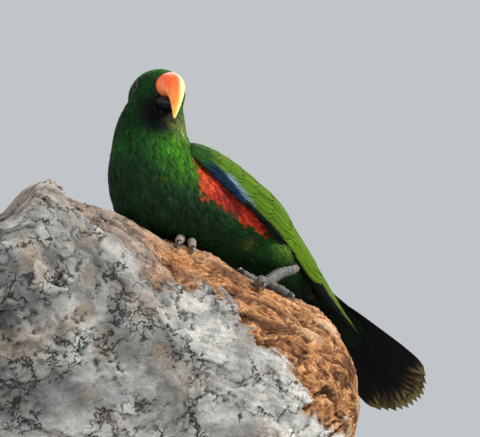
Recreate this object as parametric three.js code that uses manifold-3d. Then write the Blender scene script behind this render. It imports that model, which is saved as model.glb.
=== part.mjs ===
// A life-size male eclectus parrot that looks over its left shoulder, gripping a short cut length of
// thick pale limb, on a plain display stand. Millimetres, +Z up. The bird faces -Y, its left is +X.
import * as THREE from 'three';
import { mergeVertices } from 'three/addons/utils/BufferGeometryUtils.js';
import Module from 'manifold-3d';

const wasm = await Module();
wasm.setup();

// Driving dimensions of the bird, from the species and the photo
const gap = 0.3; // between pieces that touch
const birdPlace = new THREE.Vector3(18, 84, 380); // the middle of the body, from the centre of the base
const headMiddle = new THREE.Vector3(5, -99, 99);
const headTurn = 81; // degrees to the bird's left
const headPitch = 3;
const wingSlope = 32; // degrees that the folded wings fall towards the tail
const wingRoot = new THREE.Vector3(0, -74, 34);
const tailRoot = new THREE.Vector3(0, 76, -55);
const tailSlope = 35;
const tailRoll = 32;
const tailLength = 176;
const eyeRadius = 5.4;

// Driving dimensions of the limb and the stand
const limbRadius = 100;
const limbSlope = 15.5; // degrees that it rises towards the bird's head
const limbTurn = 11; // degrees off the bird's own line, seen from above
const limbUp = 292; // length from its middle to the sawn end
const limbDown = 110; // and to the rounded, broken end
const limbMiddle = new THREE.Vector3(-2, 0, -166);
const baseLength = 300;
const baseWidth = 220;
const baseThick = 16;
const baseCorner = 34;
const rodRadius = 7;
const rodPlaces = [6, 176]; // along the limb from its middle

const degrees = Math.PI / 180;
const vec = (x, y, z) => new THREE.Vector3(x, y, z);

const finishes = {
  green: { color: 0x1f7a2c, roughness: 0.7 },
  wingGreen: { color: 0x4f8f1e, roughness: 0.6 },
  tailGreen: { color: 0x1c3d22, roughness: 0.65 },
  thighGreen: { color: 0x2c6a24, roughness: 0.75 },
  bill: { color: 0xf07a3c, roughness: 0.35 },
  blackBill: { color: 0x17161a, roughness: 0.4 },
  eye: { color: 0x14100c, roughness: 0.1 },
  scale: { color: 0x6f6a64, roughness: 0.7 },
  claw: { color: 0x25242a, roughness: 0.35 },
  bark: { color: 0xb3aca2, roughness: 0.9 },
  stand: { color: 0x2b2724, roughness: 0.5 },
  rod: { color: 0x8a8c90, roughness: 0.3, metalness: 1 },
};

// A closed three.js geometry as a manifold solid facing out.
function solidOf(geometry) {
  const plain = new THREE.BufferGeometry();
  plain.setAttribute('position', geometry.getAttribute('position'));
  plain.setIndex(geometry.index);
  const merged = mergeVertices(plain, 1e-4);
  const triVerts = new Uint32Array(merged.index.array);
  const vertProperties = new Float32Array(merged.getAttribute('position').array);
  const made = new wasm.Manifold(new wasm.Mesh({ numProp: 3, vertProperties, triVerts }));
  if (made.volume() > 0) return made;
  for (let i = 0; i < triVerts.length; i += 3) {
    [triVerts[i + 1], triVerts[i + 2]] = [triVerts[i + 2], triVerts[i + 1]];
  }
  return new wasm.Manifold(new wasm.Mesh({ numProp: 3, vertProperties, triVerts }));
}

// The largest closed surface of a solid.
function largest(solid) {
  return solid.decompose().reduce((best, piece) => (piece.volume() > best.volume() ? piece : best));
}

// All of these solids as one.
function joined(solids) {
  return solids.reduce((whole, solid) => whole.add(solid));
}

// Rows of [place, value, value, ...] as a smooth function of the place.
function smoothTable(rows) {
  const places = rows.map((row) => row[0]);
  const curve = new THREE.CubicInterpolant(places, rows.flatMap((row) => row.slice(1)), rows[0].length - 1);
  return (place) => [...curve.evaluate(THREE.MathUtils.clamp(place, places[0], places.at(-1)))];
}

// A closed body through rings of { at, side, rise }: a centre and the two half-axes of an oval.
function tube(rings, sides) {
  const stack = new THREE.CylinderGeometry(1, 1, 1, sides, rings.length - 1);
  const position = stack.getAttribute('position');
  const point = vec(0, 0, 0);
  for (let i = 0; i < position.count; i += 1) {
    point.fromBufferAttribute(position, i);
    const ring = rings[Math.round((0.5 - point.y) * (rings.length - 1))];
    const moved = ring.at.clone().addScaledVector(ring.side, point.x).addScaledVector(ring.rise, point.z);
    position.setXYZ(i, moved.x, moved.y, moved.z);
  }
  return solidOf(stack);
}

// Rings of a round, tapering leg or toe along points, with its radii from end to end.
function ringsAlong(points, radii, sideHint, count) {
  const path = new THREE.CatmullRomCurve3(points);
  const radius = smoothTable(radii.map((value, i) => [i / (radii.length - 1), value]));
  return Array.from({ length: count }, (_, i) => {
    const t = i / (count - 1);
    const along = path.getTangent(t);
    const side = sideHint.clone().addScaledVector(along, -sideHint.dot(along)).normalize();
    const rise = along.clone().cross(side);
    const [size] = radius(t);
    return { at: path.getPoint(t), side: side.multiplyScalar(size), rise: rise.multiplyScalar(size) };
  });
}

// A closed sheet: place(u, v, face) gives its points, u from -1 to 1 across, v from 0 to 1 along and
// face -1 or 1, with both faces split into triangles alike.
function sheet(across, along, place) {
  const plane = new THREE.PlaneGeometry(2, 1, across, along);
  const grid = plane.getAttribute('position');
  const points = [];
  [1, -1].forEach((face) => {
    for (let i = 0; i < grid.count; i += 1) {
      points.push(...place(grid.getX(i), 0.5 - grid.getY(i), face).toArray());
    }
  });
  const front = [...plane.index.array];
  const back = front.map((corner) => corner + grid.count);
  for (let i = 0; i < back.length; i += 3) [back[i + 1], back[i + 2]] = [back[i + 2], back[i + 1]];
  const row = across + 1;
  const corner = (i, j) => j * row + i;
  const rim = [];
  for (let i = 0; i < across; i += 1) rim.push([corner(i + 1, 0), corner(i, 0)]);
  for (let j = 0; j < along; j += 1) rim.push([corner(0, j), corner(0, j + 1)]);
  for (let i = 0; i < across; i += 1) rim.push([corner(i, along), corner(i + 1, along)]);
  for (let j = along; j > 0; j -= 1) rim.push([corner(across, j), corner(across, j - 1)]);
  const walls = rim.flatMap(([a, b]) => [a, a + grid.count, b, b, a + grid.count, b + grid.count]);
  const closed = new THREE.BufferGeometry();
  closed.setAttribute('position', new THREE.Float32BufferAttribute(points, 3));
  closed.setIndex([...front, ...back, ...walls]);
  return solidOf(closed);
}

const model = new THREE.Group();
model.position.copy(birdPlace);

// A finished node, with its own material.
function addNode(name, solid, finish) {
  const { numProp, vertProperties, triVerts } = largest(solid).getMesh();
  const geometry = new THREE.BufferGeometry();
  geometry.setAttribute('position', new THREE.InterleavedBufferAttribute(
    new THREE.InterleavedBuffer(vertProperties, numProp), 3, 0));
  geometry.setIndex(new THREE.BufferAttribute(triVerts, 1));
  const plain = geometry.toNonIndexed();
  plain.computeVertexNormals();
  const mesh = new THREE.Mesh(plain, new THREE.MeshStandardMaterial(finishes[finish]));
  mesh.name = name;
  model.add(mesh);
}

// The torso: rows of [place, y, z, half depth, half width, lean of the section in degrees].
const torsoRows = smoothTable([
  [0, -102, 70, 29, 31, 2],
  [1, -101, 48, 37, 38.5, 8],
  [2, -97, 24, 44.5, 43.5, 24],
  [3, -82, 4, 49, 47, 44],
  [4, -46, -2, 43, 45, 58],
  [5, -10, -12, 37, 41, 59],
  [6, 24, -28, 29, 34, 58],
  [7, 54, -46, 20, 26, 58],
  [8, 80, -62, 13, 20, 58],
  [9, 98, -73, 7, 14, 58],
]);
const torsoRings = 18;
const torsoSides = 20;

function torsoSolid(grown = 0) {
  const rings = Array.from({ length: torsoRings }, (_, i) => {
    const [y, z, depth, width, lean] = torsoRows((9 * i) / (torsoRings - 1));
    const dorsal = vec(0, Math.cos(lean * degrees), Math.sin(lean * degrees));
    return {
      at: vec(0, y, z),
      side: vec(width + grown, 0, 0),
      rise: dorsal.multiplyScalar(depth + grown),
    };
  });
  return tube(rings, torsoSides);
}

// The head, in its own frame: x forward, y to its left, z up, from the middle of the skull.
const headFrame = new THREE.Matrix4().makeRotationZ((headTurn - 90) * degrees)
  .multiply(new THREE.Matrix4().makeRotationY(-headPitch * degrees)).setPosition(headMiddle);

function inHead(solid) {
  return solid.transform(headFrame.elements);
}

const headRows = smoothTable([
  [-32, -4, 7, 7],
  [-27, -2, 16, 16],
  [-18, 0, 22.5, 22.5],
  [-5, 0, 25.5, 25.2],
  [8, -1, 25, 25],
  [18, -2, 22.2, 22.3],
  [25, -2, 17.4, 18.5],
  [28, -2, 12.5, 13.5],
]);

function headSolid() {
  const rings = Array.from({ length: 13 }, (_, i) => {
    const forward = -32 + (60 * i) / 12;
    const [up, width, height] = headRows(forward);
    return { at: vec(forward, 0, up), side: vec(0, width, 0), rise: vec(0, 0, height) };
  });
  return inHead(tube(rings, 20));
}

function neckSolid() {
  const rows = smoothTable([
    [0, 0, -102, 40, 36, 36],
    [1, 1, -102.5, 60, 34.6, 34],
    [2, 3, -102, 78, 30.5, 30.5],
    [3, 5, -100, 94, 24, 25],
  ]);
  const rings = Array.from({ length: 6 }, (_, i) => {
    const [x, y, z, width, depth] = rows((3 * i) / 5);
    return { at: vec(x, y, z), side: vec(width, 0, 0), rise: vec(0, depth, 0) };
  });
  return tube(rings, 20);
}

// A half space below or above a tilted plane, as a large box.
function halfSpace(middle, normal, keepAbove) {
  const size = 400;
  const box = solidOf(new THREE.BoxGeometry(size, size, size));
  const turn = new THREE.Matrix4().lookAt(normal, vec(0, 0, 0), vec(0, 1, 0));
  turn.setPosition(middle.clone().addScaledVector(normal, (keepAbove ? 1 : -1) * (size / 2 + gap / 2)));
  return box.transform(turn.elements);
}

// Bill and eyes. Rows of [forward, up, lean of the section in degrees, half height, half width].
const upperBillRows = [
  [24.5, -2, 90, 11.4, 11.8],
  [33.2, -3.4, 80, 11, 11.5],
  [39.8, -9.3, 46, 9.5, 9.9],
  [43, -16.8, 17, 7.1, 7.7],
  [43.4, -24.4, 0, 5, 5.5],
  [42, -32, -13, 3, 3.3],
  [39.4, -40, -20, 0.6, 0.7],
];
const lowerBillRows = [
  [19, -16, 96, 8.2, 11.5],
  [26, -18.5, 100, 7.8, 11],
  [32, -21, 108, 6.4, 9.4],
  [36.5, -22.6, 116, 4.4, 6.6],
  [38.5, -23.3, 118, 2.4, 3.6],
];

function billSolid(rows, count, grown = 0) {
  const table = smoothTable(rows.map((row, i) => [i, ...row]));
  const rings = Array.from({ length: count }, (_, i) => {
    const [forward, up, lean, height, width] = table(((rows.length - 1) * i) / (count - 1));
    const rise = vec(Math.cos(lean * degrees), 0, Math.sin(lean * degrees));
    return {
      at: vec(forward, 0, up),
      side: vec(0, width + grown, 0),
      rise: rise.multiplyScalar(height + grown),
    };
  });
  return inHead(tube(rings, 14));
}

const eyePlace = vec(5.5, 20.6, 3.2);
const lidRadius = 5.2;
const lidThick = 1.1;
const lidOut = 3.1; // from the middle of the eye
const nostrilPlace = vec(27.5, 6, 8.3);
const nostrilRadius = 1.7;

function eyeBall(side, radius) {
  const ball = solidOf(new THREE.SphereGeometry(radius, 14, 8));
  return inHead(ball.translate([eyePlace.x, side * eyePlace.y, eyePlace.z]));
}

function eyeLid(side) {
  const ring = solidOf(new THREE.TorusGeometry(lidRadius, lidThick, 5, 12));
  const turned = ring.rotate([90, 0, 0]);
  return inHead(turned.translate([eyePlace.x, side * (eyePlace.y + lidOut), eyePlace.z]));
}

// The limb: a place on its surface from the distance along it and the angle round it. It swells and
// waves a little, has a knob near its upper end and falls away past it.
const knobPlace = 234;
const knobHeight = 7;
const knobLength = 24;
const knobEdge = [245, 260]; // where the far side of the knob drops
const knobDrop = 24;
const upperFall = 56; // how far the top falls from the knob to the sawn end
const lowerFall = 34; // and over the rounded end
const limbAlong = vec(0, -Math.cos(limbSlope * degrees), Math.sin(limbSlope * degrees))
  .applyAxisAngle(vec(0, 0, 1), -limbTurn * degrees);
const limbNear = vec(0, 0, 1).cross(limbAlong).normalize();
const limbTop = limbAlong.clone().cross(limbNear);

function limbPoint(along, angle, lift = 0, reach = 1) {
  const fromEnd = THREE.MathUtils.clamp((along + limbDown) / limbRadius, 0, 1);
  const rounding = Math.sqrt(1 - (1 - fromEnd) ** 2.4);
  const swell = 1 + 0.035 * Math.sin(along / 31 + 1.3) * Math.cos(2 * angle - 0.6)
    + 0.025 * Math.sin(along / 17 - 2 * angle) + 0.02 * Math.cos(3 * angle + along / 43);
  const flare = 1 + 0.08 * Math.max(0, along / limbUp) ** 2;
  const radius = (limbRadius * rounding * flare * (1 + (swell - 1) * rounding) + lift) * reach;
  const pastKnob = THREE.MathUtils.clamp((along - knobPlace) / (limbUp - knobPlace), 0, 1);
  const knob = knobHeight * Math.exp(-(((along - knobPlace) / knobLength) ** 2));
  const drop = knobDrop * THREE.MathUtils.smoothstep(along, ...knobEdge);
  const upperSide = Math.max(0, Math.sin(angle)) * reach * rounding;
  const dip = (lowerFall * (1 - fromEnd) ** 2 + upperFall * pastKnob ** 1.3 + drop - knob) * upperSide;
  return limbMiddle.clone().addScaledVector(limbAlong, along)
    .addScaledVector(limbNear, Math.cos(angle) * radius)
    .addScaledVector(limbTop, Math.sin(angle) * radius - dip);
}

// Where its rings lie along it, closer at the knob and at the rounded end.
const limbRings = [
  limbUp, 276, 262, 256, 249, 242, 232, 214, 188, 156, 122, 88, 54, 20, -12, -40, -63, -82, -96, -106, -limbDown,
];
const limbSides = 28;

function limbSolid(grown = 0) {
  const steps = limbRings.length - 1;
  const stack = new THREE.CylinderGeometry(1, 1, 1, limbSides, steps);
  const position = stack.getAttribute('position');
  for (let i = 0; i < position.count; i += 1) {
    const ring = Math.round((0.5 - position.getY(i)) * steps);
    const end = Number(ring === 0) - Number(ring === steps);
    const along = limbRings[ring] + end * grown;
    const reach = Math.hypot(position.getX(i), position.getZ(i));
    const angle = Math.atan2(position.getZ(i), position.getX(i));
    const point = limbPoint(along, angle, grown, reach);
    position.setXYZ(i, point.x, point.y, point.z);
  }
  return solidOf(stack);
}

// Folded wings: a place on the envelope that they share, from the distance along the wing, the angle up
// from the side of the body and the height over the envelope.
const wingAlong = vec(0, Math.cos(wingSlope * degrees), -Math.sin(wingSlope * degrees));
const wingOut = vec(0, Math.sin(wingSlope * degrees), Math.cos(wingSlope * degrees));
const wingEnvelope = smoothTable([
  [-12, 36, 20],
  [0, 42, 26],
  [25, 47, 35],
  [60, 49.5, 39.5],
  [90, 49, 41],
  [125, 41, 33],
  [165, 30, 24],
  [200, 20.5, 15.5],
  [245, 12, 6],
]);

function wingPoint(side, along, angle, lift) {
  const [width, height] = wingEnvelope(along);
  return wingRoot.clone().addScaledVector(wingAlong, along)
    .addScaledVector(vec(side, 0, 0), (width + lift) * Math.cos(angle * degrees))
    .addScaledVector(wingOut, (height + lift) * Math.sin(angle * degrees));
}

// A feather's vane: a thin sheet from its root to its tip, half its width at each share of its length.
const vaneOutline = smoothTable([[0, 0.5], [0.35, 0.88], [0.7, 1], [0.88, 0.9], [0.96, 0.68], [1, 0.3]]);
const vaneThick = 1.1;
const wobble = (seed) => Math.sin(seed * 12.9898); // a spread of values from -1 to 1

// place(along, across, lift) gives its points, and unit(along) the millimetres in one unit across.
function vane(place, unit, { root, tip, half, sink, rise, tilt, rows }) {
  return sheet(1, rows, (u, v, face) => {
    const t = 1 - (1 - v) ** 1.5;
    const share = vaneOutline(t)[0];
    const along = THREE.MathUtils.lerp(root[0], tip[0], t);
    const middle = THREE.MathUtils.lerp(root[1], tip[1], t);
    const lift = THREE.MathUtils.lerp(-sink, rise, Math.sqrt(t)) + tilt * u * share;
    const outward = (face * vaneThick * (1 - 0.3 * t)) / 2;
    return place(along, middle + (u * share * half) / unit(along), lift + outward);
  });
}

// The tiers of a folded wing. Each pair goes from its lowest feather to its highest, as millimetres along
// the wing or degrees up from the side of the body.
const wingTiers = [
  {
    name: 'primaries', count: 7, half: 7.6, rise: 0.9,
    roots: [104, 96], rootAngles: [-6, 30], tips: [243, 184], tipAngles: [6, 58],
  },
  {
    name: 'secondaries', count: 6, half: 9, rise: 1.5,
    roots: [88, 84], rootAngles: [4, 66], tips: [176, 152], tipAngles: [4, 78],
  },
  {
    name: 'greater coverts', count: 6, half: 9, rise: 1.8,
    roots: [58, 54], rootAngles: [-7, 66], tips: [116, 106], tipAngles: [-7, 70],
  },
  {
    name: 'median coverts', count: 5, half: 9.6, rise: 2,
    roots: [26, 26], rootAngles: [-6, 58], tips: [80, 74], tipAngles: [-7, 66],
  },
];

function wingSolid(side) {
  const lower = smoothTable([[0, -8], [0.3, -13], [0.6, -14], [0.85, -10], [1, 2]]);
  const upper = smoothTable([[0, 30], [0.12, 56], [0.4, 74], [0.65, 66], [0.85, 46], [1, 20]]);
  const plate = sheet(6, 9, (u, v, face) => {
    const angle = THREE.MathUtils.mapLinear(u, -1, 1, lower(v)[0], upper(v)[0]);
    const thick = THREE.MathUtils.lerp(5.5, 2.2, v);
    return wingPoint(side, THREE.MathUtils.lerp(-8, 226, v), angle, face > 0 ? 0 : -thick);
  });
  const unit = (along) => wingEnvelope(along)[0] * degrees;
  const vanes = wingTiers.flatMap((tier, row) => Array.from({ length: tier.count }, (_, i) => {
    const share = i / (tier.count - 1);
    const between = ([low, high]) => THREE.MathUtils.lerp(low, high, share);
    const shift = 1.6 * wobble(i + 7 * row + 3);
    return vane((...at) => wingPoint(side, ...at), unit, {
      root: [between(tier.roots), between(tier.rootAngles)],
      tip: [between(tier.tips) + shift, between(tier.tipAngles)],
      half: tier.half, sink: 1.6, rise: tier.rise, tilt: -0.8, rows: row < 2 ? 3 : 2,
    });
  }));
  return joined([plate, ...vanes]);
}

// The tail: a fan of twelve feathers on one plane that rolls a little to the left.
const tailAlong = vec(0, Math.cos(tailSlope * degrees), -Math.sin(tailSlope * degrees));
const tailSide = vec(1, 0, 0).applyAxisAngle(tailAlong, -tailRoll * degrees);
const tailUp = tailAlong.clone().cross(tailSide).negate();

function tailPoint(along, across, lift) {
  return tailRoot.clone().addScaledVector(tailAlong, along)
    .addScaledVector(tailSide, across).addScaledVector(tailUp, lift);
}

// Twelve tail feathers, the middle pair on top, with coverts over and under their roots.
const tailFeathers = 12;
const tailHalfSpread = 30;
const tailShort = { left: 24, right: 18 }; // how much shorter the outermost feather is
const tailVaneHalf = 10.5;
const covertHalf = 7.5;

function tailSolid() {
  const halfWidth = smoothTable([[0, 11], [0.4, 14], [1, 20]]);
  const root = sheet(4, 4, (u, v, face) => {
    const arch = (1 - 0.45 * u * u) * THREE.MathUtils.lerp(6, 1.6, v);
    return tailPoint(78 * v, u * halfWidth(v)[0], face * arch - 2 * u * u * v);
  });
  const unit = () => 1;
  const feathers = Array.from({ length: tailFeathers }, (_, i) => {
    const share = (2 * i) / (tailFeathers - 1) - 1;
    const outer = Math.abs(share);
    const side = share > 0 ? 'left' : 'right';
    return vane(tailPoint, unit, {
      root: [18, share * 9],
      tip: [tailLength - tailShort[side] * outer ** 2 + wobble(i + 40), share * tailHalfSpread],
      half: tailVaneHalf, sink: -0.6 + 1.2 * outer, rise: 1.5 - 5.4 * outer, tilt: -0.8 * Math.sign(share),
      rows: 4,
    });
  });
  const covert = (spread, i, count, tipAlong, top) => {
    const share = (2 * i) / (count - 1) - 1;
    return vane(tailPoint, unit, {
      root: [4, share * 6], tip: [tipAlong - 10 * Math.abs(share), share * spread],
      half: covertHalf, sink: -2.6 * top, rise: (top > 0 ? 3.4 : -3.4) - 2.6 * Math.abs(share),
      tilt: 0.6 * Math.sign(share) * top, rows: 3,
    });
  };
  const upperCoverts = Array.from({ length: 4 }, (_, i) => covert(13, i, 4, 74, 1));
  const underCoverts = Array.from({ length: 4 }, (_, i) => covert(14, i, 4, 88, -1));
  return joined([root, ...feathers, ...upperCoverts, ...underCoverts]);
}

// Legs and feet
const leftHeel = vec(30, 41, -46);
const rightHeel = vec(-35, -34, -41);
const thighRadii = [15, 17, 9.5, 6.6]; // from the hip to the heel
const shankRadii = [5.4, 4.8, 5.2]; // from the heel to the foot

// Feet: the middle of each on the limb, then its toes as a name, a thickness and places from the middle.
// A place is a distance along the limb, degrees round it and a height in toe thicknesses.
const footPad = 6;
const toeRadii = [1, 0.92, 1.04, 0.86, 0.95, 0.78, 0.82, 0.5]; // knuckles and the hollows between them
const clawRadii = [0.56, 0.52, 0.33, 0.08];
const feet = {
  left: {
    middle: [12, 74],
    toes: [
      ['front_outer', 4.3, [[10, -8, 1.3], [15, -16, 1.15], [17, -23, 0.9]]],
      ['front_inner', 3.7, [[11, 1, 1.3], [19, 0, 1.1], [26, -2, 0.9]]],
      ['back_outer', 4.1, [[-6, -4, 1.3], [-11, -9, 1.15], [-15, -15, 0.9]]],
      ['back_inner', 3.6, [[-5, 6, 1.25], [-11, 11, 1.05], [-16, 15, 0.9]]],
    ],
  },
  right: {
    middle: [90, 86],
    toes: [
      ['front_outer', 4.1, [[9, -7, 1.4], [15, -15, 1.2], [19, -23, 0.9]]],
      ['front_inner', 3.9, [[1, -8, 1.5], [4, -16, 1.2], [6, -24, 0.9]]],
      ['back_outer', 4.0, [[-9, 1, 1.3], [-18, 0, 1.1], [-26, -1, 0.9]]],
      ['back_inner', 3.6, [[-2, 6, 1.25], [-6, 11, 1.05], [-9, 15, 0.9]]],
    ],
  },
};

function footPoint([along, angle], lift) {
  return limbPoint(along, angle * degrees, lift);
}

function toeOnLimb(middle, places, thick, grown = 0) {
  const points = [[0, 0, 1.2], ...places].map(([along, angle, lift]) => (
    footPoint([middle[0] + along, middle[1] + angle], thick * lift + gap)));
  return tube(ringsAlong(points, toeRadii.map((share) => share * thick + grown), limbNear, 8), 6);
}

// A claw that goes on from the end of a toe, arching down to the bark.
function clawOnLimb(middle, places, thick, grown = 0) {
  const [before, end] = places.slice(-2);
  const away = [end[0] - before[0], (end[1] - before[1]) * limbRadius * degrees];
  const length = Math.hypot(...away);
  const points = [[-1, 0.95], [3.5, 1.25], [7.2, 0.85], [8.8, 0.1]].map(([further, lift]) => footPoint([
    middle[0] + end[0] + (away[0] * further) / length,
    middle[1] + end[1] + (away[1] * further) / (length * limbRadius * degrees),
  ], thick * lift + gap));
  return tube(ringsAlong(points, clawRadii.map((share) => share * thick + grown), limbNear, 6), 6);
}

// Building, part by part
const limb = limbSolid();
const limbRoom = limbSolid(gap);
const torsoWhole = torsoSolid();
const torsoRoom = torsoSolid(gap);
const neckWhole = neckSolid();
const headWhole = headSolid();

const neckCut = { at: vec(0, -103, 58), normal: vec(0, 0.25, 1).normalize() };
const headCut = { at: vec(4, -100, 82), normal: vec(0.35, 0.05, 1).normalize() };
const aboveNeck = halfSpace(neckCut.at, neckCut.normal, true);
const belowNeck = halfSpace(neckCut.at, neckCut.normal, false);
const aboveHead = halfSpace(headCut.at, headCut.normal, true);
const belowHead = halfSpace(headCut.at, headCut.normal, false);

const flesh = torsoWhole.add(neckWhole).add(headWhole);
const upperBill = billSolid(upperBillRows, 13);
const nostrils = [1, -1].map((side) => (
  inHead(solidOf(new THREE.SphereGeometry(nostrilRadius, 8, 6))
    .translate([nostrilPlace.x, side * nostrilPlace.y, nostrilPlace.z]))));
const upperBillRoom = billSolid(upperBillRows, 13, gap);
const lowerBill = billSolid(lowerBillRows, 7).subtract(upperBillRoom);
const lowerBillRoom = billSolid(lowerBillRows, 7, gap);

let head = flesh.intersect(aboveHead);
head = joined([head, eyeLid(1), eyeLid(-1)]);
head = head.subtract(eyeBall(1, eyeRadius + gap)).subtract(eyeBall(-1, eyeRadius + gap));
head = head.subtract(upperBillRoom).subtract(lowerBillRoom);
addNode('head', head, 'green');
addNode('upper_bill', upperBill.subtract(joined(nostrils)), 'bill');
addNode('lower_bill', lowerBill, 'blackBill');
addNode('eye_left', eyeBall(1, eyeRadius), 'eye');
addNode('eye_right', eyeBall(-1, eyeRadius), 'eye');
addNode('neck', flesh.intersect(aboveNeck).intersect(belowHead), 'green');
const torso = flesh.intersect(belowNeck).subtract(limbRoom);

// Thighs grow from the flanks, and the shanks from the thighs.
function thighRings(side, heel, grown = 0) {
  const hip = vec(side * 22, heel.y - 44, heel.z + 22);
  const knee = vec(side * 29, heel.y - 22, heel.z + 10);
  const points = [hip, knee, heel.clone().add(vec(0, -7, 3)), heel.clone().add(vec(0, -1, 0.5))];
  return ringsAlong(points, thighRadii.map((radius) => radius + grown), vec(1, 0, 0), 9);
}

function shankRings(heel, foot, grown = 0) {
  const middle = heel.clone().lerp(foot, 0.5).add(vec(0, 1, 2));
  return ringsAlong([heel, middle, foot], shankRadii.map((radius) => radius + grown), vec(1, 0, 0), 7);
}

function addLeg(sideName, side, heel) {
  const { middle, toes } = feet[sideName];
  const ankle = footPoint(middle, footPad + gap);
  const pad = (radius) => solidOf(new THREE.SphereGeometry(radius, 9, 6)).translate(ankle.toArray());
  const grownToes = toes.map(([, thick, places]) => toeOnLimb(middle, places, thick, gap));
  const footRoom = joined([pad(footPad + gap), ...grownToes]);
  const foot = joined([pad(footPad), ...toes.map(([, thick, places]) => toeOnLimb(middle, places, thick))]);
  const clawRooms = toes.map(([, thick, places]) => clawOnLimb(middle, places, thick, gap));
  const room = joined([footRoom, ...clawRooms]);
  const thighRoom = tube(thighRings(side, heel, gap), 14);
  const thigh = tube(thighRings(side, heel), 14).subtract(joined([torsoRoom, limbRoom, room]));
  const shank = tube(shankRings(heel, ankle), 9).subtract(joined([thighRoom, footRoom, torsoRoom, limbRoom]));
  addNode(`thigh_${sideName}`, thigh, 'thighGreen');
  addNode(`shank_${sideName}`, shank, 'scale');
  addNode(`foot_${sideName}`, foot.subtract(limbRoom), 'scale');
  toes.forEach(([name, thick, places]) => {
    const claw = clawOnLimb(middle, places, thick).subtract(footRoom).subtract(limbRoom);
    addNode(`claw_${sideName}_${name}`, claw, 'claw');
  });
  return { leg: joined([thighRoom, room, tube(shankRings(heel, ankle, gap), 9)]), foot: room };
}

const legRooms = [addLeg('left', 1, leftHeel), addLeg('right', -1, rightHeel)];

const tail = tailSolid();
const tailRoom = sheetRoom(tail);
addNode('torso', torso.subtract(joined([tailRoom, ...legRooms.map(({ foot }) => foot)])), 'green');
[['left', 1], ['right', -1]].forEach(([name, side], i) => {
  const wing = wingSolid(side).subtract(torsoRoom).subtract(legRooms[i].leg).subtract(tailRoom);
  addNode(`wing_${name}`, wing, 'wingGreen');
});
addNode('tail', tail, 'tailGreen');

// A thin solid grown by the gap on every side, for cutting room round it.
function sheetRoom(solid) {
  const steps = [[gap, 0, 0], [-gap, 0, 0], [0, gap, 0], [0, -gap, 0], [0, 0, gap], [0, 0, -gap]];
  return joined(steps.map((step) => solid.translate(step)));
}

// Stand: a rounded base plate and two rods up to the limb
function baseSolid() {
  const halfX = baseWidth / 2 - baseCorner;
  const halfY = baseLength / 2 - baseCorner;
  const outline = new THREE.Shape();
  outline.absarc(halfX, halfY, baseCorner, 0, Math.PI / 2);
  outline.absarc(-halfX, halfY, baseCorner, Math.PI / 2, Math.PI);
  outline.absarc(-halfX, -halfY, baseCorner, Math.PI, 1.5 * Math.PI);
  outline.absarc(halfX, -halfY, baseCorner, 1.5 * Math.PI, 2 * Math.PI);
  const plate = new THREE.ExtrudeGeometry(outline, {
    depth: baseThick - 2, bevelEnabled: true, bevelThickness: 1, bevelSize: 1, bevelOffset: -1,
    bevelSegments: 1, curveSegments: 6,
  });
  return solidOf(plate).translate([0, 0, 1]).translate(birdPlace.clone().negate().toArray());
}

addNode('perch_limb', limb, 'bark');
addNode('stand_base', baseSolid(), 'stand');
rodPlaces.forEach((along, i) => {
  const middle = limbMiddle.clone().addScaledVector(limbAlong, along);
  const bottom = baseThick + gap - birdPlace.z;
  const height = middle.z - bottom;
  const rod = solidOf(new THREE.CylinderGeometry(rodRadius, rodRadius, height, 18)).rotate([90, 0, 0])
    .translate([middle.x, middle.y, bottom + height / 2]).subtract(limbRoom);
  addNode(`stand_rod_${i + 1}`, rod, 'rod');
});

export default model;
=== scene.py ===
import itertools
import math

import bmesh
import bpy
import numpy as np
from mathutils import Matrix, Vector
from mathutils.bvhtree import BVHTree


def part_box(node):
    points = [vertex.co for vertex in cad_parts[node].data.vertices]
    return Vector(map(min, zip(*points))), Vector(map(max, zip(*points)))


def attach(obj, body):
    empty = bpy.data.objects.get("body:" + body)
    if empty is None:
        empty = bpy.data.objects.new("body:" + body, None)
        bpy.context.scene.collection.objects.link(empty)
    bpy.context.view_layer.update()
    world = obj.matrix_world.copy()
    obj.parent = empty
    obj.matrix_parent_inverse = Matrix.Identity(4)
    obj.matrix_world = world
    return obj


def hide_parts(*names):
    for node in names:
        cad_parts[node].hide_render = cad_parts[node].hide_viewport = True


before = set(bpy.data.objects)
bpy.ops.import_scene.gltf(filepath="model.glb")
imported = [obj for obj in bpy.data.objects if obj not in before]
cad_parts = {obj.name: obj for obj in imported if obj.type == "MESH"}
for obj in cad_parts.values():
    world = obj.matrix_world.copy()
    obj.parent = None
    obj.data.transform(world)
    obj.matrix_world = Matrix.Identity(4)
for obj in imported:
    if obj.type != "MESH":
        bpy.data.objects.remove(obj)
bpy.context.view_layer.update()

mm = 0.001
seed = 11
bird = {
    "place": np.array([18.0, 84.0, 380.0]),  # from the middle of the base, as in the solids
    "headMiddle": np.array([5.0, -99.0, 99.0]),
    "headTurn": 81,  # degrees to the bird's left
    "headPitch": 3,
    "wingRoot": np.array([0.0, -74.0, 34.0]),
    "wingSlope": 32,
    "tailRoot": np.array([0.0, 76.0, -55.0]),
    "tailSlope": 35,
    "tailRoll": 32,
    "tailLength": 176,
}


# Small helpers

def degrees(value):
    return math.radians(value)


def lerp(a, b, t):
    return a + (b - a) * t


def smoothstep(low, high, x):
    t = np.clip((np.asarray(x, float) - low) / (high - low), 0, 1)
    return t * t * (3 - 2 * t)


def unit(v):
    v = np.asarray(v, float)
    return v / np.maximum(np.linalg.norm(v, axis=-1, keepdims=True), 1e-9)


def turned(v, axis, angle):
    # Rodrigues' rotation of a vector about a unit axis
    axis = unit(axis)
    c, s = math.cos(angle), math.sin(angle)
    return v * c + np.cross(axis, v) * s + axis * np.dot(axis, v) * (1 - c)


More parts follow.
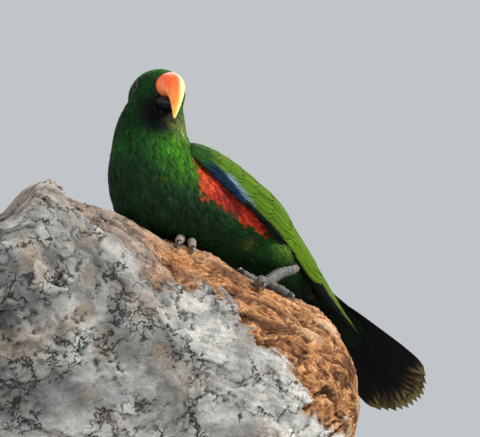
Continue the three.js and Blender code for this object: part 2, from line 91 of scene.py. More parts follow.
def table(rows):
    # A smooth function through rows of [place, value, value, ...]
    rows = np.array(rows, float)
    places, values = rows[:, 0], rows[:, 1:]
    slopes = np.gradient(values, places, axis=0)

    def at(place):
        x = np.clip(np.asarray(place, float), places[0], places[-1])
        k = np.clip(np.searchsorted(places, x, side="right") - 1, 0, len(places) - 2)
        h = places[k + 1] - places[k]
        t = (x - places[k]) / h
        t, h = t[..., None], h[..., None]
        a = values[k] * (2 * t**3 - 3 * t**2 + 1) + values[k + 1] * (3 * t**2 - 2 * t**3)
        b = slopes[k] * h * (t**3 - 2 * t**2 + t) + slopes[k + 1] * h * (t**3 - t**2)
        return a + b

    return at


def toWorld(points):
    return (np.asarray(points, float) + bird["place"]) * mm


def fromWorld(points):
    return np.asarray(points, float) / mm - bird["place"]


def wobble(points, scale, offset=0.0):
    # A smooth wavy value from -1 to 1 at each point
    p = np.asarray(points, float) / scale + offset
    a = np.sin(p[..., 0] * 1.7 + 2.1 * np.sin(p[..., 1] * 1.3 + p[..., 2] * 0.7))
    b = np.sin(p[..., 1] * 2.3 + 1.7 * np.sin(p[..., 2] * 1.9 - p[..., 0] * 0.9))
    c = np.sin(p[..., 2] * 2.9 + 1.3 * np.sin(p[..., 0] * 2.2 + p[..., 1] * 1.1))
    return (a + b + c) / 3


# Making objects

def newObject(name, mesh, body="root"):
    piece = bpy.data.objects.new(name, mesh)
    bpy.context.scene.collection.objects.link(piece)
    if body:
        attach(piece, body)
    return piece


def meshFromArrays(name, points, faces, tints=None, uvs=None, vanes=None):
    # points in millimetres of the bird, faces of four corners, a colour and a bake place per point
    mesh = bpy.data.meshes.new(name)
    faces = np.asarray(faces, np.int32)
    mesh.vertices.add(len(points))
    mesh.vertices.foreach_set("co", toWorld(points).astype(np.float32).ravel())
    mesh.loops.add(faces.size)
    mesh.loops.foreach_set("vertex_index", faces.ravel())
    mesh.polygons.add(len(faces))
    mesh.polygons.foreach_set("loop_start", np.arange(0, faces.size, faces.shape[1], dtype=np.int32))
    mesh.update(calc_edges=True)
    mesh.polygons.foreach_set("use_smooth", np.ones(len(faces), bool))
    if tints is not None:
        layer = mesh.color_attributes.new("tint", "FLOAT_COLOR", "POINT")
        full = np.ones((len(points), 4), np.float32)
        full[:, :3] = tints
        layer.data.foreach_set("color", full.ravel())
    if vanes is not None:
        # across and along its feather, and a number of that feather's own
        layer = mesh.attributes.new("vane", "FLOAT_VECTOR", "POINT")
        layer.data.foreach_set("vector", np.asarray(vanes, np.float32).ravel())
    if uvs is not None:
        bake = mesh.uv_layers.new(name="OFBake")
        bake.data.foreach_set("uv", np.asarray(uvs, np.float32)[faces.ravel()].ravel())
    mesh.validate()
    return mesh


def sheetMesh(name, across, along, place, tint=None):
    # A grid of quads moved by place(u, v), both from 0 to 1, with its seam and poles merged
    bm = bmesh.new()
    bmesh.ops.create_grid(bm, x_segments=across, y_segments=along, size=0.5)
    uv = np.array([(v.co.x + 0.5, v.co.y + 0.5) for v in bm.verts])
    points = place(uv[:, 0], uv[:, 1])
    colours = tint(uv[:, 0], uv[:, 1], points) if tint else None
    layer = bm.verts.layers.float_color.new("tint") if tint else None
    for i, (vert, co) in enumerate(zip(bm.verts, toWorld(points))):
        vert.co = co
        if layer:
            vert[layer] = (*colours[i], 1)
    bmesh.ops.remove_doubles(bm, verts=bm.verts, dist=1e-6)
    bmesh.ops.recalc_face_normals(bm, faces=bm.faces)
    for face in bm.faces:
        face.smooth = True
    mesh = bpy.data.meshes.new(name)
    bm.to_mesh(mesh)
    bm.free()
    return mesh


# Shader maths: sockets that add, multiply and mix

class Shade:
    def __init__(self, material, socket):
        self.material, self.socket = material, socket

    def made(self, kind, inputs, output=0, **settings):
        tree = self.material.node_tree
        node = tree.nodes.new(kind)
        for key, value in settings.items():
            setattr(node, key, value)
        for key, value in inputs.items():
            target = node.inputs[key]
            if isinstance(value, Shade):
                tree.links.new(value.socket, target)
            else:
                target.default_value = value
        return Shade(self.material, node.outputs[output])

    def maths(self, operation, other=0.0):
        return self.made("ShaderNodeMath", {0: self, 1: other}, operation=operation)

    def __add__(self, other):
        return self.maths("ADD", other)

    def __sub__(self, other):
        return self.maths("SUBTRACT", other)

    def __rsub__(self, other):
        return self.made("ShaderNodeMath", {0: other, 1: self}, operation="SUBTRACT")

    def __mul__(self, other):
        return self.maths("MULTIPLY", other)

    __radd__ = __add__
    __rmul__ = __mul__

    def ramp(self, low, high, start=0.0, end=1.0):
        return self.made("ShaderNodeMapRange", {
            "Value": self, "From Min": low, "From Max": high, "To Min": start, "To Max": end,
        }, interpolation_type="SMOOTHSTEP")

    def mix(self, first, second):
        # self is the share of the second colour
        return self.made("ShaderNodeMix", {0: self, 6: first, 7: second}, output=2, data_type="RGBA")

    def scaled(self, amount):
        # A colour times a number
        return self.made("ShaderNodeVectorMath", {0: self, "Scale": amount}, operation="SCALE")

    def moved(self, amount):
        return self.made("ShaderNodeVectorMath", {0: self, 1: amount}, operation="MULTIPLY")

    def noise(self, scale, detail=3.0, roughness=0.55, distortion=0.0, output=0):
        values = {"Scale": scale, "Detail": detail, "Roughness": roughness, "Distortion": distortion}
        return self.made("ShaderNodeTexNoise", {"Vector": self, **values}, output=output)

    def cells(self, scale, output=0, **settings):
        return self.made("ShaderNodeTexVoronoi", {"Vector": self, "Scale": scale}, output=output, **settings)


def newMaterial(name, roughness=0.5, **constants):
    material = bpy.data.materials.new(name)
    material.use_nodes = True
    shader = material.node_tree.nodes["Principled BSDF"]
    shader.inputs["Roughness"].default_value = roughness
    for key, value in constants.items():
        shader.inputs[key].default_value = value
    return material


def start(material):
    # The object's own coordinates, to build a colour on
    return Shade(material, None).made("ShaderNodeTexCoord", {}, output="Object")


def attribute(material, name, output="Color"):
    return Shade(material, None).made("ShaderNodeAttribute", {}, output=output, attribute_name=name)


def feed(material, socket, shade):
    shader = material.node_tree.nodes["Principled BSDF"]
    material.node_tree.links.new(shade.socket, shader.inputs[socket])


def bump(material, height, strength, distance):
    values = {"Height": height, "Strength": strength, "Distance": distance * mm}
    feed(material, "Normal", height.made("ShaderNodeBump", values, output="Normal"))


# Frames of the head, the wings and the tail, the same as in the solids

def headAxes():
    yaw = degrees(bird["headTurn"] - 90)
    pitch = degrees(bird["headPitch"])
    forward = np.array([math.cos(yaw) * math.cos(pitch), math.sin(yaw) * math.cos(pitch), math.sin(pitch)])
    left = np.array([-math.sin(yaw), math.cos(yaw), 0])
    return forward, left, np.cross(forward, left)


headForward, headLeft, headUp = headAxes()


def inHead(points):
    points = np.asarray(points, float)
    return (bird["headMiddle"] + points[..., 0:1] * headForward + points[..., 1:2] * headLeft
            + points[..., 2:3] * headUp)


def toHead(points):
    away = points - bird["headMiddle"]
    return np.stack([away @ headForward, away @ headLeft, away @ headUp], -1)


slope = degrees(bird["wingSlope"])
wingAlong = np.array([0, math.cos(slope), -math.sin(slope)])
wingOut = np.array([0, math.sin(slope), math.cos(slope)])
wingEnvelope = table([
    [-12, 36, 20], [0, 42, 26], [25, 47, 35], [60, 49.5, 39.5], [90, 49, 41],
    [125, 41, 33], [165, 30, 24], [200, 20.5, 15.5], [245, 12, 6],
])


def wingPoint(side, along, angle, lift):
    size = wingEnvelope(along)
    wide, high = size[..., 0] + lift, size[..., 1] + lift
    turn = np.radians(angle)
    return (bird["wingRoot"] + along[..., None] * wingAlong
            + (side * wide * np.cos(turn))[..., None] * np.array([1.0, 0, 0])
            + (high * np.sin(turn))[..., None] * wingOut)


def wingPlace(points):
    # How far along the wing, how far round and how far out of its envelope a point is
    away = points - bird["wingRoot"]
    along = away @ wingAlong
    size = wingEnvelope(along)
    x, y = np.abs(points[..., 0]) / size[..., 0], (away @ wingOut) / size[..., 1]
    return along, np.degrees(np.arctan2(y, x)), np.hypot(x, y)


slope = degrees(bird["tailSlope"])
tailAlong = np.array([0, math.cos(slope), -math.sin(slope)])
tailSide = turned(np.array([1.0, 0, 0]), tailAlong, -degrees(bird["tailRoll"]))
tailUp = -np.cross(tailAlong, tailSide)


def tailPoint(along, across, lift):
    return (bird["tailRoot"] + along[..., None] * tailAlong + across[..., None] * tailSide
            + lift[..., None] * tailUp)


# Colours of the plumage, as linear values

plumage = {
    # the coat's own green, kept darker than the bird's as painted shade
    "green": (0.008, 0.046, 0.009),
    "paintedLightGreen": (0.022, 0.115, 0.006),
    "shadeGreen": (0.0075, 0.020, 0.009),
    "faceShadowGreen": (0.004, 0.022, 0.007),
    "shoulderLitGreen": (0.026, 0.112, 0.004),
    "thighGreen": (0.045, 0.105, 0.012),
    "chin": (0.16, 0.18, 0.06),
    "chinShade": (0.002, 0.0025, 0.0028),
    "wingGreen": (0.052, 0.120, 0.005),
    "wingYellowAndLight": (0.110, 0.165, 0.007),
    "red": (0.52, 0.042, 0.018),
    "orange": (0.28, 0.050, 0.012),
    "darkRed": (0.10, 0.013, 0.009),
    "olive": (0.085, 0.085, 0.018),
    "blue": (0.003, 0.015, 0.038),
    "tealSheen": (0.085, 0.145, 0.170),
    "black": (0.0018, 0.002, 0.0024),
    "tipYellow": (0.19, 0.155, 0.06),
    "brown": (0.05, 0.028, 0.016),
}
plumage = {name: np.array(colour) for name, colour in plumage.items()}


def blended(first, second, share):
    share = np.asarray(share)[..., None]
    return first * (1 - share) + second * share


def near(points, place, radius):
    # 1 at a place on the body, fading to 0 at a distance from it
    return smoothstep(radius, 0, np.linalg.norm(points - np.array(place, float), axis=-1))


redPatch = {
    "front": table([[-60, 16], [-38, 7], [-20, -4], [0, -12]]),  # how far along it starts, by degrees round
    "lower": table([[-10, -36], [15, -40], [34, -37], [52, -33], [66, -31], [84, -20], [97, -13],
                    [104, -11]]),  # degrees round, by how far along
    "end": 98,
    "soft": 2.2,  # half the width of its edge
}
patches = {  # other patches: the middle and how far from it each has faded
    "shoulder": ((38, -88, 42), 47),
    "shoulderRim": ((38, -88, 40), 60),
    "belowBill": (inHead((24.0, -8.0, -27.0)), 24),
    "chin": ((32, -88, 66), 22),
    "flank": ((33, -19, -33), 12),
    "thigh": ((47, 16, -32), 24),
}


def within(points, name):
    return near(points, *patches[name])


def redShare(points, along, angle):
    # The red patch under the wing
    inside = np.minimum(angle - redPatch["lower"](along)[..., 0], 2 - angle)
    inside = np.minimum(inside, 0.8 * (along - redPatch["front"](angle)[..., 0]))
    inside = np.minimum(inside, 0.8 * (redPatch["end"] - along)) + 2.6 * wobble(points, 7)
    return smoothstep(-redPatch["soft"], redPatch["soft"], inside)


def bodyColour(points):
    x, y, z = points[..., 0], points[..., 1], points[..., 2]
    patchy = wobble(points, 12, 4.0)
    colour = np.broadcast_to(plumage["green"], points.shape).copy()

    def lay(name, share, strength=1.0):
        # A share of another colour of the plumage over the colours so far
        nonlocal colour
        colour = blended(colour, plumage[name] * strength, share)

    # painted light: the back, which the light falls on, made a brighter green
    lay("paintedLightGreen", smoothstep(-20, 60, (points - np.array([0, -60, 20])) @ wingOut) * 0.8)  # the back
    # painted shade: the breast and belly, turned away from the light, darkened
    undersideShade = smoothstep(0.0, 0.8, -(points - np.array([0, -50, 10])) @ wingOut / 45)
    lay("shadeGreen", undersideShade * smoothstep(80, 20, z) * 0.85)
    head = toHead(points)
    # painted shade: the face, turned from the light, darkened
    face = smoothstep(12, -12, head[..., 1] + 0.35 * (head[..., 0] - 10)) * smoothstep(44, 70, z)
    lay("faceShadowGreen", face * smoothstep(17, 4, head[..., 2]) * 0.85)
    # painted light: the shoulder made a bright green where the light falls on it, patchy towards its edge
    lit = within(points, "shoulder") * 1.3 + 0.25 * patchy * within(points, "shoulderRim")
    lay("shoulderLitGreen", np.clip(lit, 0, 1) * smoothstep(-14, 12, x + 0.45 * (y + 110)))
    # painted light: the head's left side, which the light falls on, made a brighter green
    lay("paintedLightGreen", smoothstep(8, 24, head[..., 1]) * smoothstep(60, 84, z) * 0.9)
    lay("chinShade", np.clip(within(points, "belowBill") ** 0.6 * 1.3, 0, 1))
    # painted light: sunlit yellow-green on the chin feathers
    lay("chin", within(points, "chin") * np.clip(0.7 + 0.9 * wobble(points, 3), 0, 1))
    along, angle, _ = wingPlace(points)
    red = blended(plumage["red"], plumage["orange"], smoothstep(26, 2, along) * 0.75)
    # painted shade: the red darkened over the middle of the patch
    middle = smoothstep(14, 26, along) * smoothstep(58, 50, along)
    red = blended(red, plumage["darkRed"], middle * (0.7 + 0.3 * patchy))
    # darker towards the patch's end
    red = blended(red, plumage["darkRed"], smoothstep(82, 92, along))
    colour = blended(colour, red, redShare(points, along, angle))
    lay("olive", within(points, "flank") * 0.7)
    lay("thighGreen", np.clip(1.4 * within(points, "thigh"), 0, 1))
    # painted shade: darker green towards the tail, below the vent
    lay("shadeGreen", smoothstep(34, 56, y) * smoothstep(26, 0, z + 0.6 * y), 0.5)  # towards the tail
    return colour


# The skin: the solids of head, neck, torso and thighs as one smooth surface, drawn in by the coat's depth

skinValues = {
    "nodes": ["head", "neck", "torso", "thigh_left", "thigh_right"],
    "swollen": 0.4,  # so that neighbouring solids join
    "voxel": 2.0,
    "smooth": 10,
    "drawnIn": 1.8,
    # painted shade: the down below the feathers is their colour darkened, for the gaps between them
    "shade": 0.4,  # of the feathers' colour, for the down below them
}


def makeSkin():
    bm = bmesh.new()
    for name in skinValues["nodes"]:
        bm.from_mesh(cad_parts[name].data)
    bmesh.ops.remove_doubles(bm, verts=bm.verts, dist=1e-6)
    bm.normal_update()
    for vert in bm.verts:
        vert.co += vert.normal * skinValues["swollen"] * mm
    mesh = bpy.data.meshes.new("body_skin")
    bm.to_mesh(mesh)
    bm.free()
    skin = newObject("body_skin", mesh)
    remesh = skin.modifiers.new("remesh", "REMESH")
    remesh.mode = "VOXEL"
    remesh.voxel_size = skinValues["voxel"] * mm
    smooth = skin.modifiers.new("smooth", "SMOOTH")
    smooth.factor = 0.5
    smooth.iterations = skinValues["smooth"]
    graph = bpy.context.evaluated_depsgraph_get()
    shaped = bpy.data.meshes.new_from_object(skin.evaluated_get(graph))
    skin.modifiers.clear()
    skin.data = shaped
    shaped.name = "body_skin"
    count = len(shaped.vertices)
    points = np.empty(count * 3)
    normals = np.empty(count * 3)
    shaped.vertices.foreach_get("co", points)
    shaped.vertices.foreach_get("normal", normals)
    points = points.reshape(-1, 3) - normals.reshape(-1, 3) * skinValues["drawnIn"] * mm
    shaped.vertices.foreach_set("co", points.ravel())
    shaped.polygons.foreach_set("use_smooth", np.ones(len(shaped.polygons), bool))
    tint = shaped.color_attributes.new("tint", "FLOAT_COLOR", "POINT")
    colours = np.ones((count, 4))
    colours[:, :3] = bodyColour(fromWorld(points)) * skinValues["shade"]
    tint.data.foreach_set("color", colours.ravel())
    shaped.update()
    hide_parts(*skinValues["nodes"])
    print("skin", len(shaped.polygons), "faces")
    return skin


def bodyUv(points):
    # An unwrap of the body: round it across, and from the crown to the tail along
    z, y = points[..., 2], points[..., 1]
    upper = np.clip((130 - z) / 100, 0, 1)
    lower = np.clip(((points - np.array([0, -100, 30])) @ wingAlong) / 230, 0, 1)
    v = 0.4 * upper + 0.55 * lower * smoothstep(60, 20, z)
    centreY = np.where(z > 30, -101, -100 + lower * 195)
    centreZ = np.where(z > 30, z, 10 - lower * 80)
    angle = np.arctan2(points[..., 0], (y - centreY) + (z - centreZ))
    return np.stack([0.5 + 0.48 * angle / math.pi, 0.02 + v], -1)


# Contour feathers

contour = {
    "samples": 120000,
    "across": 4,
    "along": 5,
    "body": 3.7,  # spacing in millimetres on the body, the head and less of it on the face and thighs
    "head": 1.9,
    "faceLess": 0.55,
    "thighLess": 0.9,
    "apart": 0.82,  # of the spacing
    "length": (2.9, 3.9),  # of the spacing
    "width": (0.66, 0.86),
    "turned": 0.2,
    "lift": 1.0,
    "sink": 0.9,
    "fray": 0.085,
    "eye": (5.5, 22, 3.2),  # bare round this place of the head, and round the bill
    "eyeBare": 6.2,
    "bill": (27, 0, -4),
    "billBare": 11.5,
}


def featherScale(points):
    # The spacing of the feathers at each point: smallest on the face, largest on the back and belly
    head = toHead(points)
    onHead = smoothstep(60, 86, points[..., 2])
    face = smoothstep(34, 8, np.linalg.norm(head - np.array([30, 0, -6]), axis=-1))
    size = lerp(contour["body"], contour["head"], onHead) - contour["faceLess"] * face * onHead
    thigh = smoothstep(24, 34, np.abs(points[..., 0])) * smoothstep(-24, -40, points[..., 2])
    return size - contour["thighLess"] * thigh


def flowAt(points):
    # The way that the feathers lie: away from the bill, down the neck and then towards the tail
    fromBill = unit(points - inHead(np.array([34.0, 0, -4.0])))
    down = np.broadcast_to(np.array([0, 0.12, -1.0]), points.shape)
    tailward = np.array([0, 0.86, -0.5])
    body = blended(down, tailward, smoothstep(-104, -40, points[..., 1] - 0.3 * points[..., 2]))
    return unit(blended(body, fromBill, smoothstep(70, 96, points[..., 2])))


def hasRoom(i, key, points, gap, grid):
    # Whether no point kept so far, in this cell of the grid or the next ones, is within the gap
    p = points[i]
    for step in itertools.product((-1, 0, 1), repeat=3):
        for j in grid.get((key[0] + step[0], key[1] + step[1], key[2] + step[2]), ()):
            q = points[j]
            if (p[0] - q[0]) ** 2 + (p[1] - q[1]) ** 2 + (p[2] - q[2]) ** 2 < gap ** 2:
                return False
    return True


def scatter(skin):
    # Points spread evenly over the skin, as far apart as the feathers there
    rng = np.random.default_rng(seed)
    mesh = skin.data
    mesh.calc_loop_triangles()
    corners = np.empty(len(mesh.loop_triangles) * 3, np.int32)
    mesh.loop_triangles.foreach_get("vertices", corners)
    co = np.empty(len(mesh.vertices) * 3)
    mesh.vertices.foreach_get("co", co)
    a, b, c = (fromWorld(co.reshape(-1, 3))[k] for k in corners.reshape(-1, 3).T)
    cross = np.cross(b - a, c - a)
    weight = np.linalg.norm(cross, axis=1) / 2 / featherScale((a + b + c) / 3) ** 2
    chosen = rng.choice(len(weight), contour["samples"], p=weight / weight.sum())
    r1, r2 = np.sqrt(rng.random(contour["samples"])), rng.random(contour["samples"])
    points = a[chosen] * (1 - r1)[:, None] + b[chosen] * (r1 * (1 - r2))[:, None]
    points = points + c[chosen] * (r1 * r2)[:, None]
    size = featherScale(points)
    cell = 4.5
    grid, keep = {}, []
    for i, p in enumerate(points):
        key = (int(p[0] // cell), int(p[1] // cell), int(p[2] // cell))
        if hasRoom(i, key, points, contour["apart"] * size[i], grid):
            grid.setdefault(key, []).append(i)
            keep.append(i)
    return points[keep], unit(cross[chosen])[keep], size[keep]


bakeSize = 0.0015  # half the width of one feather in the unwrap


def vaneGrid(across, along):
    # Places on a vane, -1 to 1 across and 0 to 1 along, and the quads between them
    u, t = np.meshgrid(np.linspace(-1, 1, across + 1), np.linspace(0, 1, along + 1))
    index = np.arange((across + 1) * (along + 1)).reshape(along + 1, across + 1)
    quads = np.stack([index[:-1, :-1], index[:-1, 1:], index[1:, 1:], index[1:, :-1]], -1).reshape(-1, 4)
    return u.ravel(), t.ravel(), quads


contourOutline = table([[0, 0.45], [0.3, 0.85], [0.6, 1.0], [0.82, 0.88], [0.94, 0.6], [1.0, 0.3]])


def isCovered(points):
    # Under the wing, or bare round the eyes and the bill
    along, angle, out = wingPlace(points)
    underWing = (along > 6) & (along < 190) & (angle > -6) & (out > 0.55)
    underWing = underWing & (angle < lerp(62, 52, along / 190))
    head = toHead(points)
    head = np.stack([head[:, 0], np.abs(head[:, 1]), head[:, 2]], -1)
    atBill = np.linalg.norm(head - np.array(contour["bill"]), axis=1) < contour["billBare"]
    atEye = np.linalg.norm(head - np.array(contour["eye"]), axis=1) <= contour["eyeBare"]
    return underWing | atBill | atEye


def makeContour(skin):
    rng = np.random.default_rng(seed + 1)
    points, normals, size = scatter(skin)
    tree = BVHTree.FromObject(skin, bpy.context.evaluated_depsgraph_get())
    flow = flowAt(points)
    flow = unit(flow - normals * (flow * normals).sum(1)[:, None])
    sideways = np.cross(normals, flow)
    flow = unit(flow + sideways * rng.normal(0, contour["turned"], len(points))[:, None])
    length = size * rng.uniform(*contour["length"], len(points))
    width = size * rng.uniform(*contour["width"], len(points))
    middle, end, endNormal = [], [], []
    for p, d, l in zip(points, flow, length):
        middle.append(fromWorld(tree.find_nearest(Vector(toWorld(p + d * l * 0.5)))[0]))
        place, normal, _, _ = tree.find_nearest(Vector(toWorld(p + d * l)))
        end.append(fromWorld(place))
        endNormal.append(normal)
    keep = ~isCovered(points)
    rows = (points, normals, flow, size, np.array(middle), np.array(end), np.array(endNormal), length, width)
    points, normals, flow, size, middle, end, endNormal, length, width = (row[keep] for row in rows)
    u, t, quads = vaneGrid(contour["across"], contour["along"])
    count, per = len(points), len(u)
    # each shaft is a curve from under the skin, over the middle, to a raised tip
    lift = contour["lift"] * size / 4.3
    root = points - normals * contour["sink"]
    mid = middle + unit(normals + endNormal) * (lift * 0.9)[:, None]
    tip = end + endNormal * (lift * rng.uniform(0.8, 1.35, count))[:, None]
    tt = t[None, :, None]
    shaft = root[:, None] * (1 - tt) * (1 - 2 * tt) + mid[:, None] * 4 * tt * (1 - tt)
    shaft = shaft + tip[:, None] * tt * (2 * tt - 1)
    up = unit(normals[:, None] * (1 - tt) + endNormal[:, None] * tt)
    side = unit(np.cross(up, flow[:, None]))
    fray = rng.normal(0, contour["fray"], (count, per)) * (t > 0.9) * length[:, None]
    bend = -0.10 * (u ** 2) * (t ** 1.5) * length[:, None] + fray
    camber = (0.16 * (1 - u ** 2) - 0.1) * width[:, None]
    across = u * contourOutline(t)[:, 0] * width[:, None]
    place = shaft + side * across[..., None] + up * camber[..., None] + flow[:, None] * bend[..., None]
    tone = np.exp(rng.normal(0, 0.2, count))
    hue = rng.normal(0, 0.10, (count, 1))
    base = bodyColour(points) * tone[:, None] * np.concatenate([1 + hue * 1.2, 1 + hue * 0.2, 1 - hue], 1)
    # painted shade: each feather darker at its root, where the feather over it lies, and a little at its
    # edges
    shade = 0.55 + 0.55 * t ** 1.2 - 0.12 * np.abs(u) ** 3
    tints = base[:, None] * shade[None, :, None]
    uvs = bodyUv(points)[:, None] + np.stack([u, 2 * t - 1], -1)[None] * bakeSize
    faces = (quads[None] + (np.arange(count) * per)[:, None, None]).reshape(-1, 4)
    own = np.broadcast_to(rng.random((count, 1)), (count, per))
    vanes = np.stack([np.broadcast_to(u, own.shape), np.broadcast_to(t, own.shape), own], -1)
    layers = [a.reshape(count * per, -1) for a in (place, tints, uvs, vanes)]
    makeCoat("body_feathers", faces, layers, len(quads))
    print("contour feathers", count)


def makeCoat(name, faces, layers, perFeather):
    # Joined feathers, cut into pieces of under 200,000 triangles
    most = 90000 // perFeather * perFeather
    for k, first in enumerate(range(0, len(faces), most)):
        part = faces[first:first + most]
        low, high = part.min(), part.max() + 1
        points, tints, uvs, vanes = (layer[low:high] for layer in layers)
        mesh = meshFromArrays(f"{name}_{k + 1}", points, part - low, tints, uvs, vanes)
        mesh.materials.append(materials["feather"])
        newObject(mesh.name, mesh)


# Materials

materials = {}


def makeFeatherMaterials():
    feather = newMaterial("feather", 0.72, **{"Specular IOR Level": 0.06})
    tint = attribute(feather, "tint")
    # barbs: fine streaks that run from the shaft to the edge and the tip of each vane
    barbs = attribute(feather, "vane", "Vector").moved((2.6, 0.55, 31.0)).noise(2.2, 4, 0.7)
    grain = start(feather).noise(900, 3).ramp(0.25, 0.75, 0.8, 1.2) * barbs.ramp(0.3, 0.7, 0.55, 1.4)
    feed(feather, "Base Color", tint.scaled(grain))
    bump(feather, barbs, 0.5, 0.35)
    materials["feather"] = feather

    skin = newMaterial("under_down", 0.9)
    down = start(skin).noise(500).ramp(0.3, 0.7, 0.6, 1.2)
    feed(skin, "Base Color", attribute(skin, "tint").scaled(down))
    materials["skin"] = skin


def makeHeadMaterials():
    horn = newMaterial("upper_bill_horn", 0.5, **{"Subsurface Weight": 0.1, "Specular IOR Level": 0.22})
    shader = horn.node_tree.nodes["Principled BSDF"]
    shader.inputs["Subsurface Radius"].default_value = (0.004, 0.002, 0.001)
    streak = start(horn).moved((1, 1, 0.25)).noise(260, 4)
    feed(horn, "Base Color", attribute(horn, "tint").scaled(streak.ramp(0.3, 0.7, 0.86, 1.12)))
    feed(horn, "Roughness", streak.ramp(0.3, 0.7, 0.42, 0.58))
    bump(horn, streak, 0.2, 0.25)
    materials["horn"] = horn

    black = newMaterial("lower_bill_horn", 0.45, **{"Specular IOR Level": 0.25})
    streak = start(black).moved((1, 1, 0.3)).noise(300, 4)
    feed(black, "Base Color", streak.mix((0.004, 0.0045, 0.006, 1), (0.014, 0.015, 0.018, 1)))
    bump(black, streak, 0.3, 0.3)
    materials["black"] = black

    eyeball = newMaterial("eye", 0.1, **{
        "Coat Weight": 0.12, "Coat Roughness": 0.05, "Specular IOR Level": 0.12,
    })
    feed(eyeball, "Base Color", attribute(eyeball, "tint"))
    materials["eye"] = eyeball

    lid = newMaterial("eyelid", 0.7, **{"Specular IOR Level": 0.12})
    beads = start(lid).cells(1500)
    feed(lid, "Base Color", beads.mix((0.085, 0.09, 0.08, 1), (0.025, 0.03, 0.025, 1)))
    bump(lid, beads, 0.5, 0.2)
    materials["lid"] = lid


def makeLegMaterials():
    scale = newMaterial("leg_scales", 0.6)
    edges = start(scale).cells(700, feature="DISTANCE_TO_EDGE")
    tone = start(scale).noise(220, 4).mix((0.11, 0.105, 0.10, 1), (0.30, 0.28, 0.255, 1))
    base = tone.moved(attribute(scale, "tint"))
    feed(scale, "Base Color", edges.ramp(0.0, 0.12).mix((0.02, 0.018, 0.017, 1), base))
    bump(scale, edges.ramp(0.0, 0.2), 0.7, 0.35)
    materials["scale"] = scale

    claw = newMaterial("claw_horn", 0.3, **{"Coat Weight": 0.4})
    streak = start(claw).noise(500, 3)
    feed(claw, "Base Color", streak.mix((0.01, 0.01, 0.012, 1), (0.07, 0.065, 0.07, 1)))
    materials["claw"] = claw


barkPaint = {
    "crack": (0.022, 0.019, 0.017, 1),
    "stain": (0.20, 0.145, 0.09, 1),
    "rot": (0.085, 0.034, 0.016, 1),
    "jag": (0.016, 0.016, 0.016),  # how far the cracks zigzag, in metres
    "knobbly": (0.20, 0.34),  # where the rough end begins and is fullest, in metres along the limb
}


def makeBarkMaterial():
    paint = barkPaint
    bark = newMaterial("bark", 0.85, **{"Specular IOR Level": 0.2})
    spot = start(bark)
    tint = attribute(bark, "tint")
    red, blue = (tint.made("ShaderNodeSeparateColor", {0: tint}, output=k) for k in (0, 2))
    brown = (red - blue).ramp(0.05, 0.14)  # the worn wood is far browner than the bark
    papery = 1 - brown
    along = spot.made("ShaderNodeVectorMath", {0: spot, 1: tuple(limbAlong)}, output="Value",
                      operation="DOT_PRODUCT")
    knobbly = along.ramp(*paint["knobbly"])
    jags = spot.noise(150, 5, 0.5, output="Color")
    jagged = spot.made("ShaderNodeVectorMath", {0: jags, 1: paint["jag"], 2: spot}, operation="MULTIPLY_ADD")
    fine = spot.noise(420, 6, 0.7)
    # thin jagged cracks, and sheets of bark whose torn edges lie over a gap, painted dark as the shadow
    # beneath the edge
    crack = jagged.cells(24, feature="DISTANCE_TO_EDGE").ramp(0.0, 0.035, 1, 0)
    crack = crack * spot.noise(15, 2).ramp(0.52, 0.6)
    sheets = jagged.noise(26, 4, 0.6)
    over = sheets.ramp(0.5, 0.515)
    gap = sheets.ramp(0.476, 0.497) * (1 - over) * spot.noise(19, 2, 0.5).ramp(0.42, 0.55)
    pits = jagged.noise(150, 3, 0.6).ramp(0.6, 0.68) * (0.1 + 0.9 * knobbly)
    dark = (crack + gap + pits).maths("MINIMUM", 1.0) * papery
    mottle = spot.noise(60, 6, 0.65).ramp(0.3, 0.7, 0.72, 1.25)
    fibres = spot.moved((1.5, 0.6, 1.5)).noise(520, 5, 0.75, 1.5)
    tone = fine.ramp(0.25, 0.75, 0.8, 1.18) * mottle * (0.92 + 0.16 * over)
    tone = tone * (1 + brown * fibres.ramp(0.3, 0.7, -0.6, 0.5))
    stained = jagged.noise(34, 4).ramp(0.56, 0.66) * papery * 0.5
    rotten = jagged.noise(75, 4).ramp(0.56, 0.66) * brown * 0.75
    base = rotten.mix(stained.mix(tint.scaled(tone), paint["stain"]), paint["rot"])
    feed(bark, "Base Color", (0.93 * dark).mix(base, paint["crack"]))
    lines = spot.moved((1.7, 0.28, 1.7)).noise(190, 5, 0.65, 0.4)
    relief = 1.1 * lines + 0.8 * fine + 0.6 * mottle + 0.9 * over + 1.2 * brown * fibres - 1.8 * dark
    bump(bark, relief, 0.9, 1.6)
    materials["bark"] = bark


def makeStandMaterials():
    stain = newMaterial("stand_wood", 0.42, **{"Coat Weight": 0.15})
    grain = start(stain).moved((9, 1, 9)).noise(22, 5, 0.6, 0.8)
    feed(stain, "Base Color", grain.ramp(0.3, 0.7).mix((0.018, 0.012, 0.008, 1), (0.055, 0.034, 0.02, 1)))
    bump(stain, grain, 0.2, 0.3)
    materials["stain"] = stain

    steel = newMaterial("stand_steel", 0.3, Metallic=1.0)
    lines = start(steel).moved((1, 1, 0.02)).noise(1800, 2)
    feed(steel, "Base Color", lines.mix((0.42, 0.42, 0.43, 1), (0.62, 0.62, 0.63, 1)))
    feed(steel, "Roughness", lines.ramp(0.3, 0.7, 0.22, 0.4))
    materials["steel"] = steel

    floor = newMaterial("floor", 0.8)
    feed(floor, "Base Color", start(floor).noise(3).mix((0.62, 0.62, 0.61, 1), (0.67, 0.67, 0.66, 1)))
    materials["floor"] = floor


def makeMaterials():
    makeFeatherMaterials()
    makeHeadMaterials()
    makeLegMaterials()
    makeBarkMaterial()
    makeStandMaterials()
    print("materials", len(materials))


# Flight feathers, coverts and tail: closed vanes with a shaft, laid on the envelope or the tail's plane

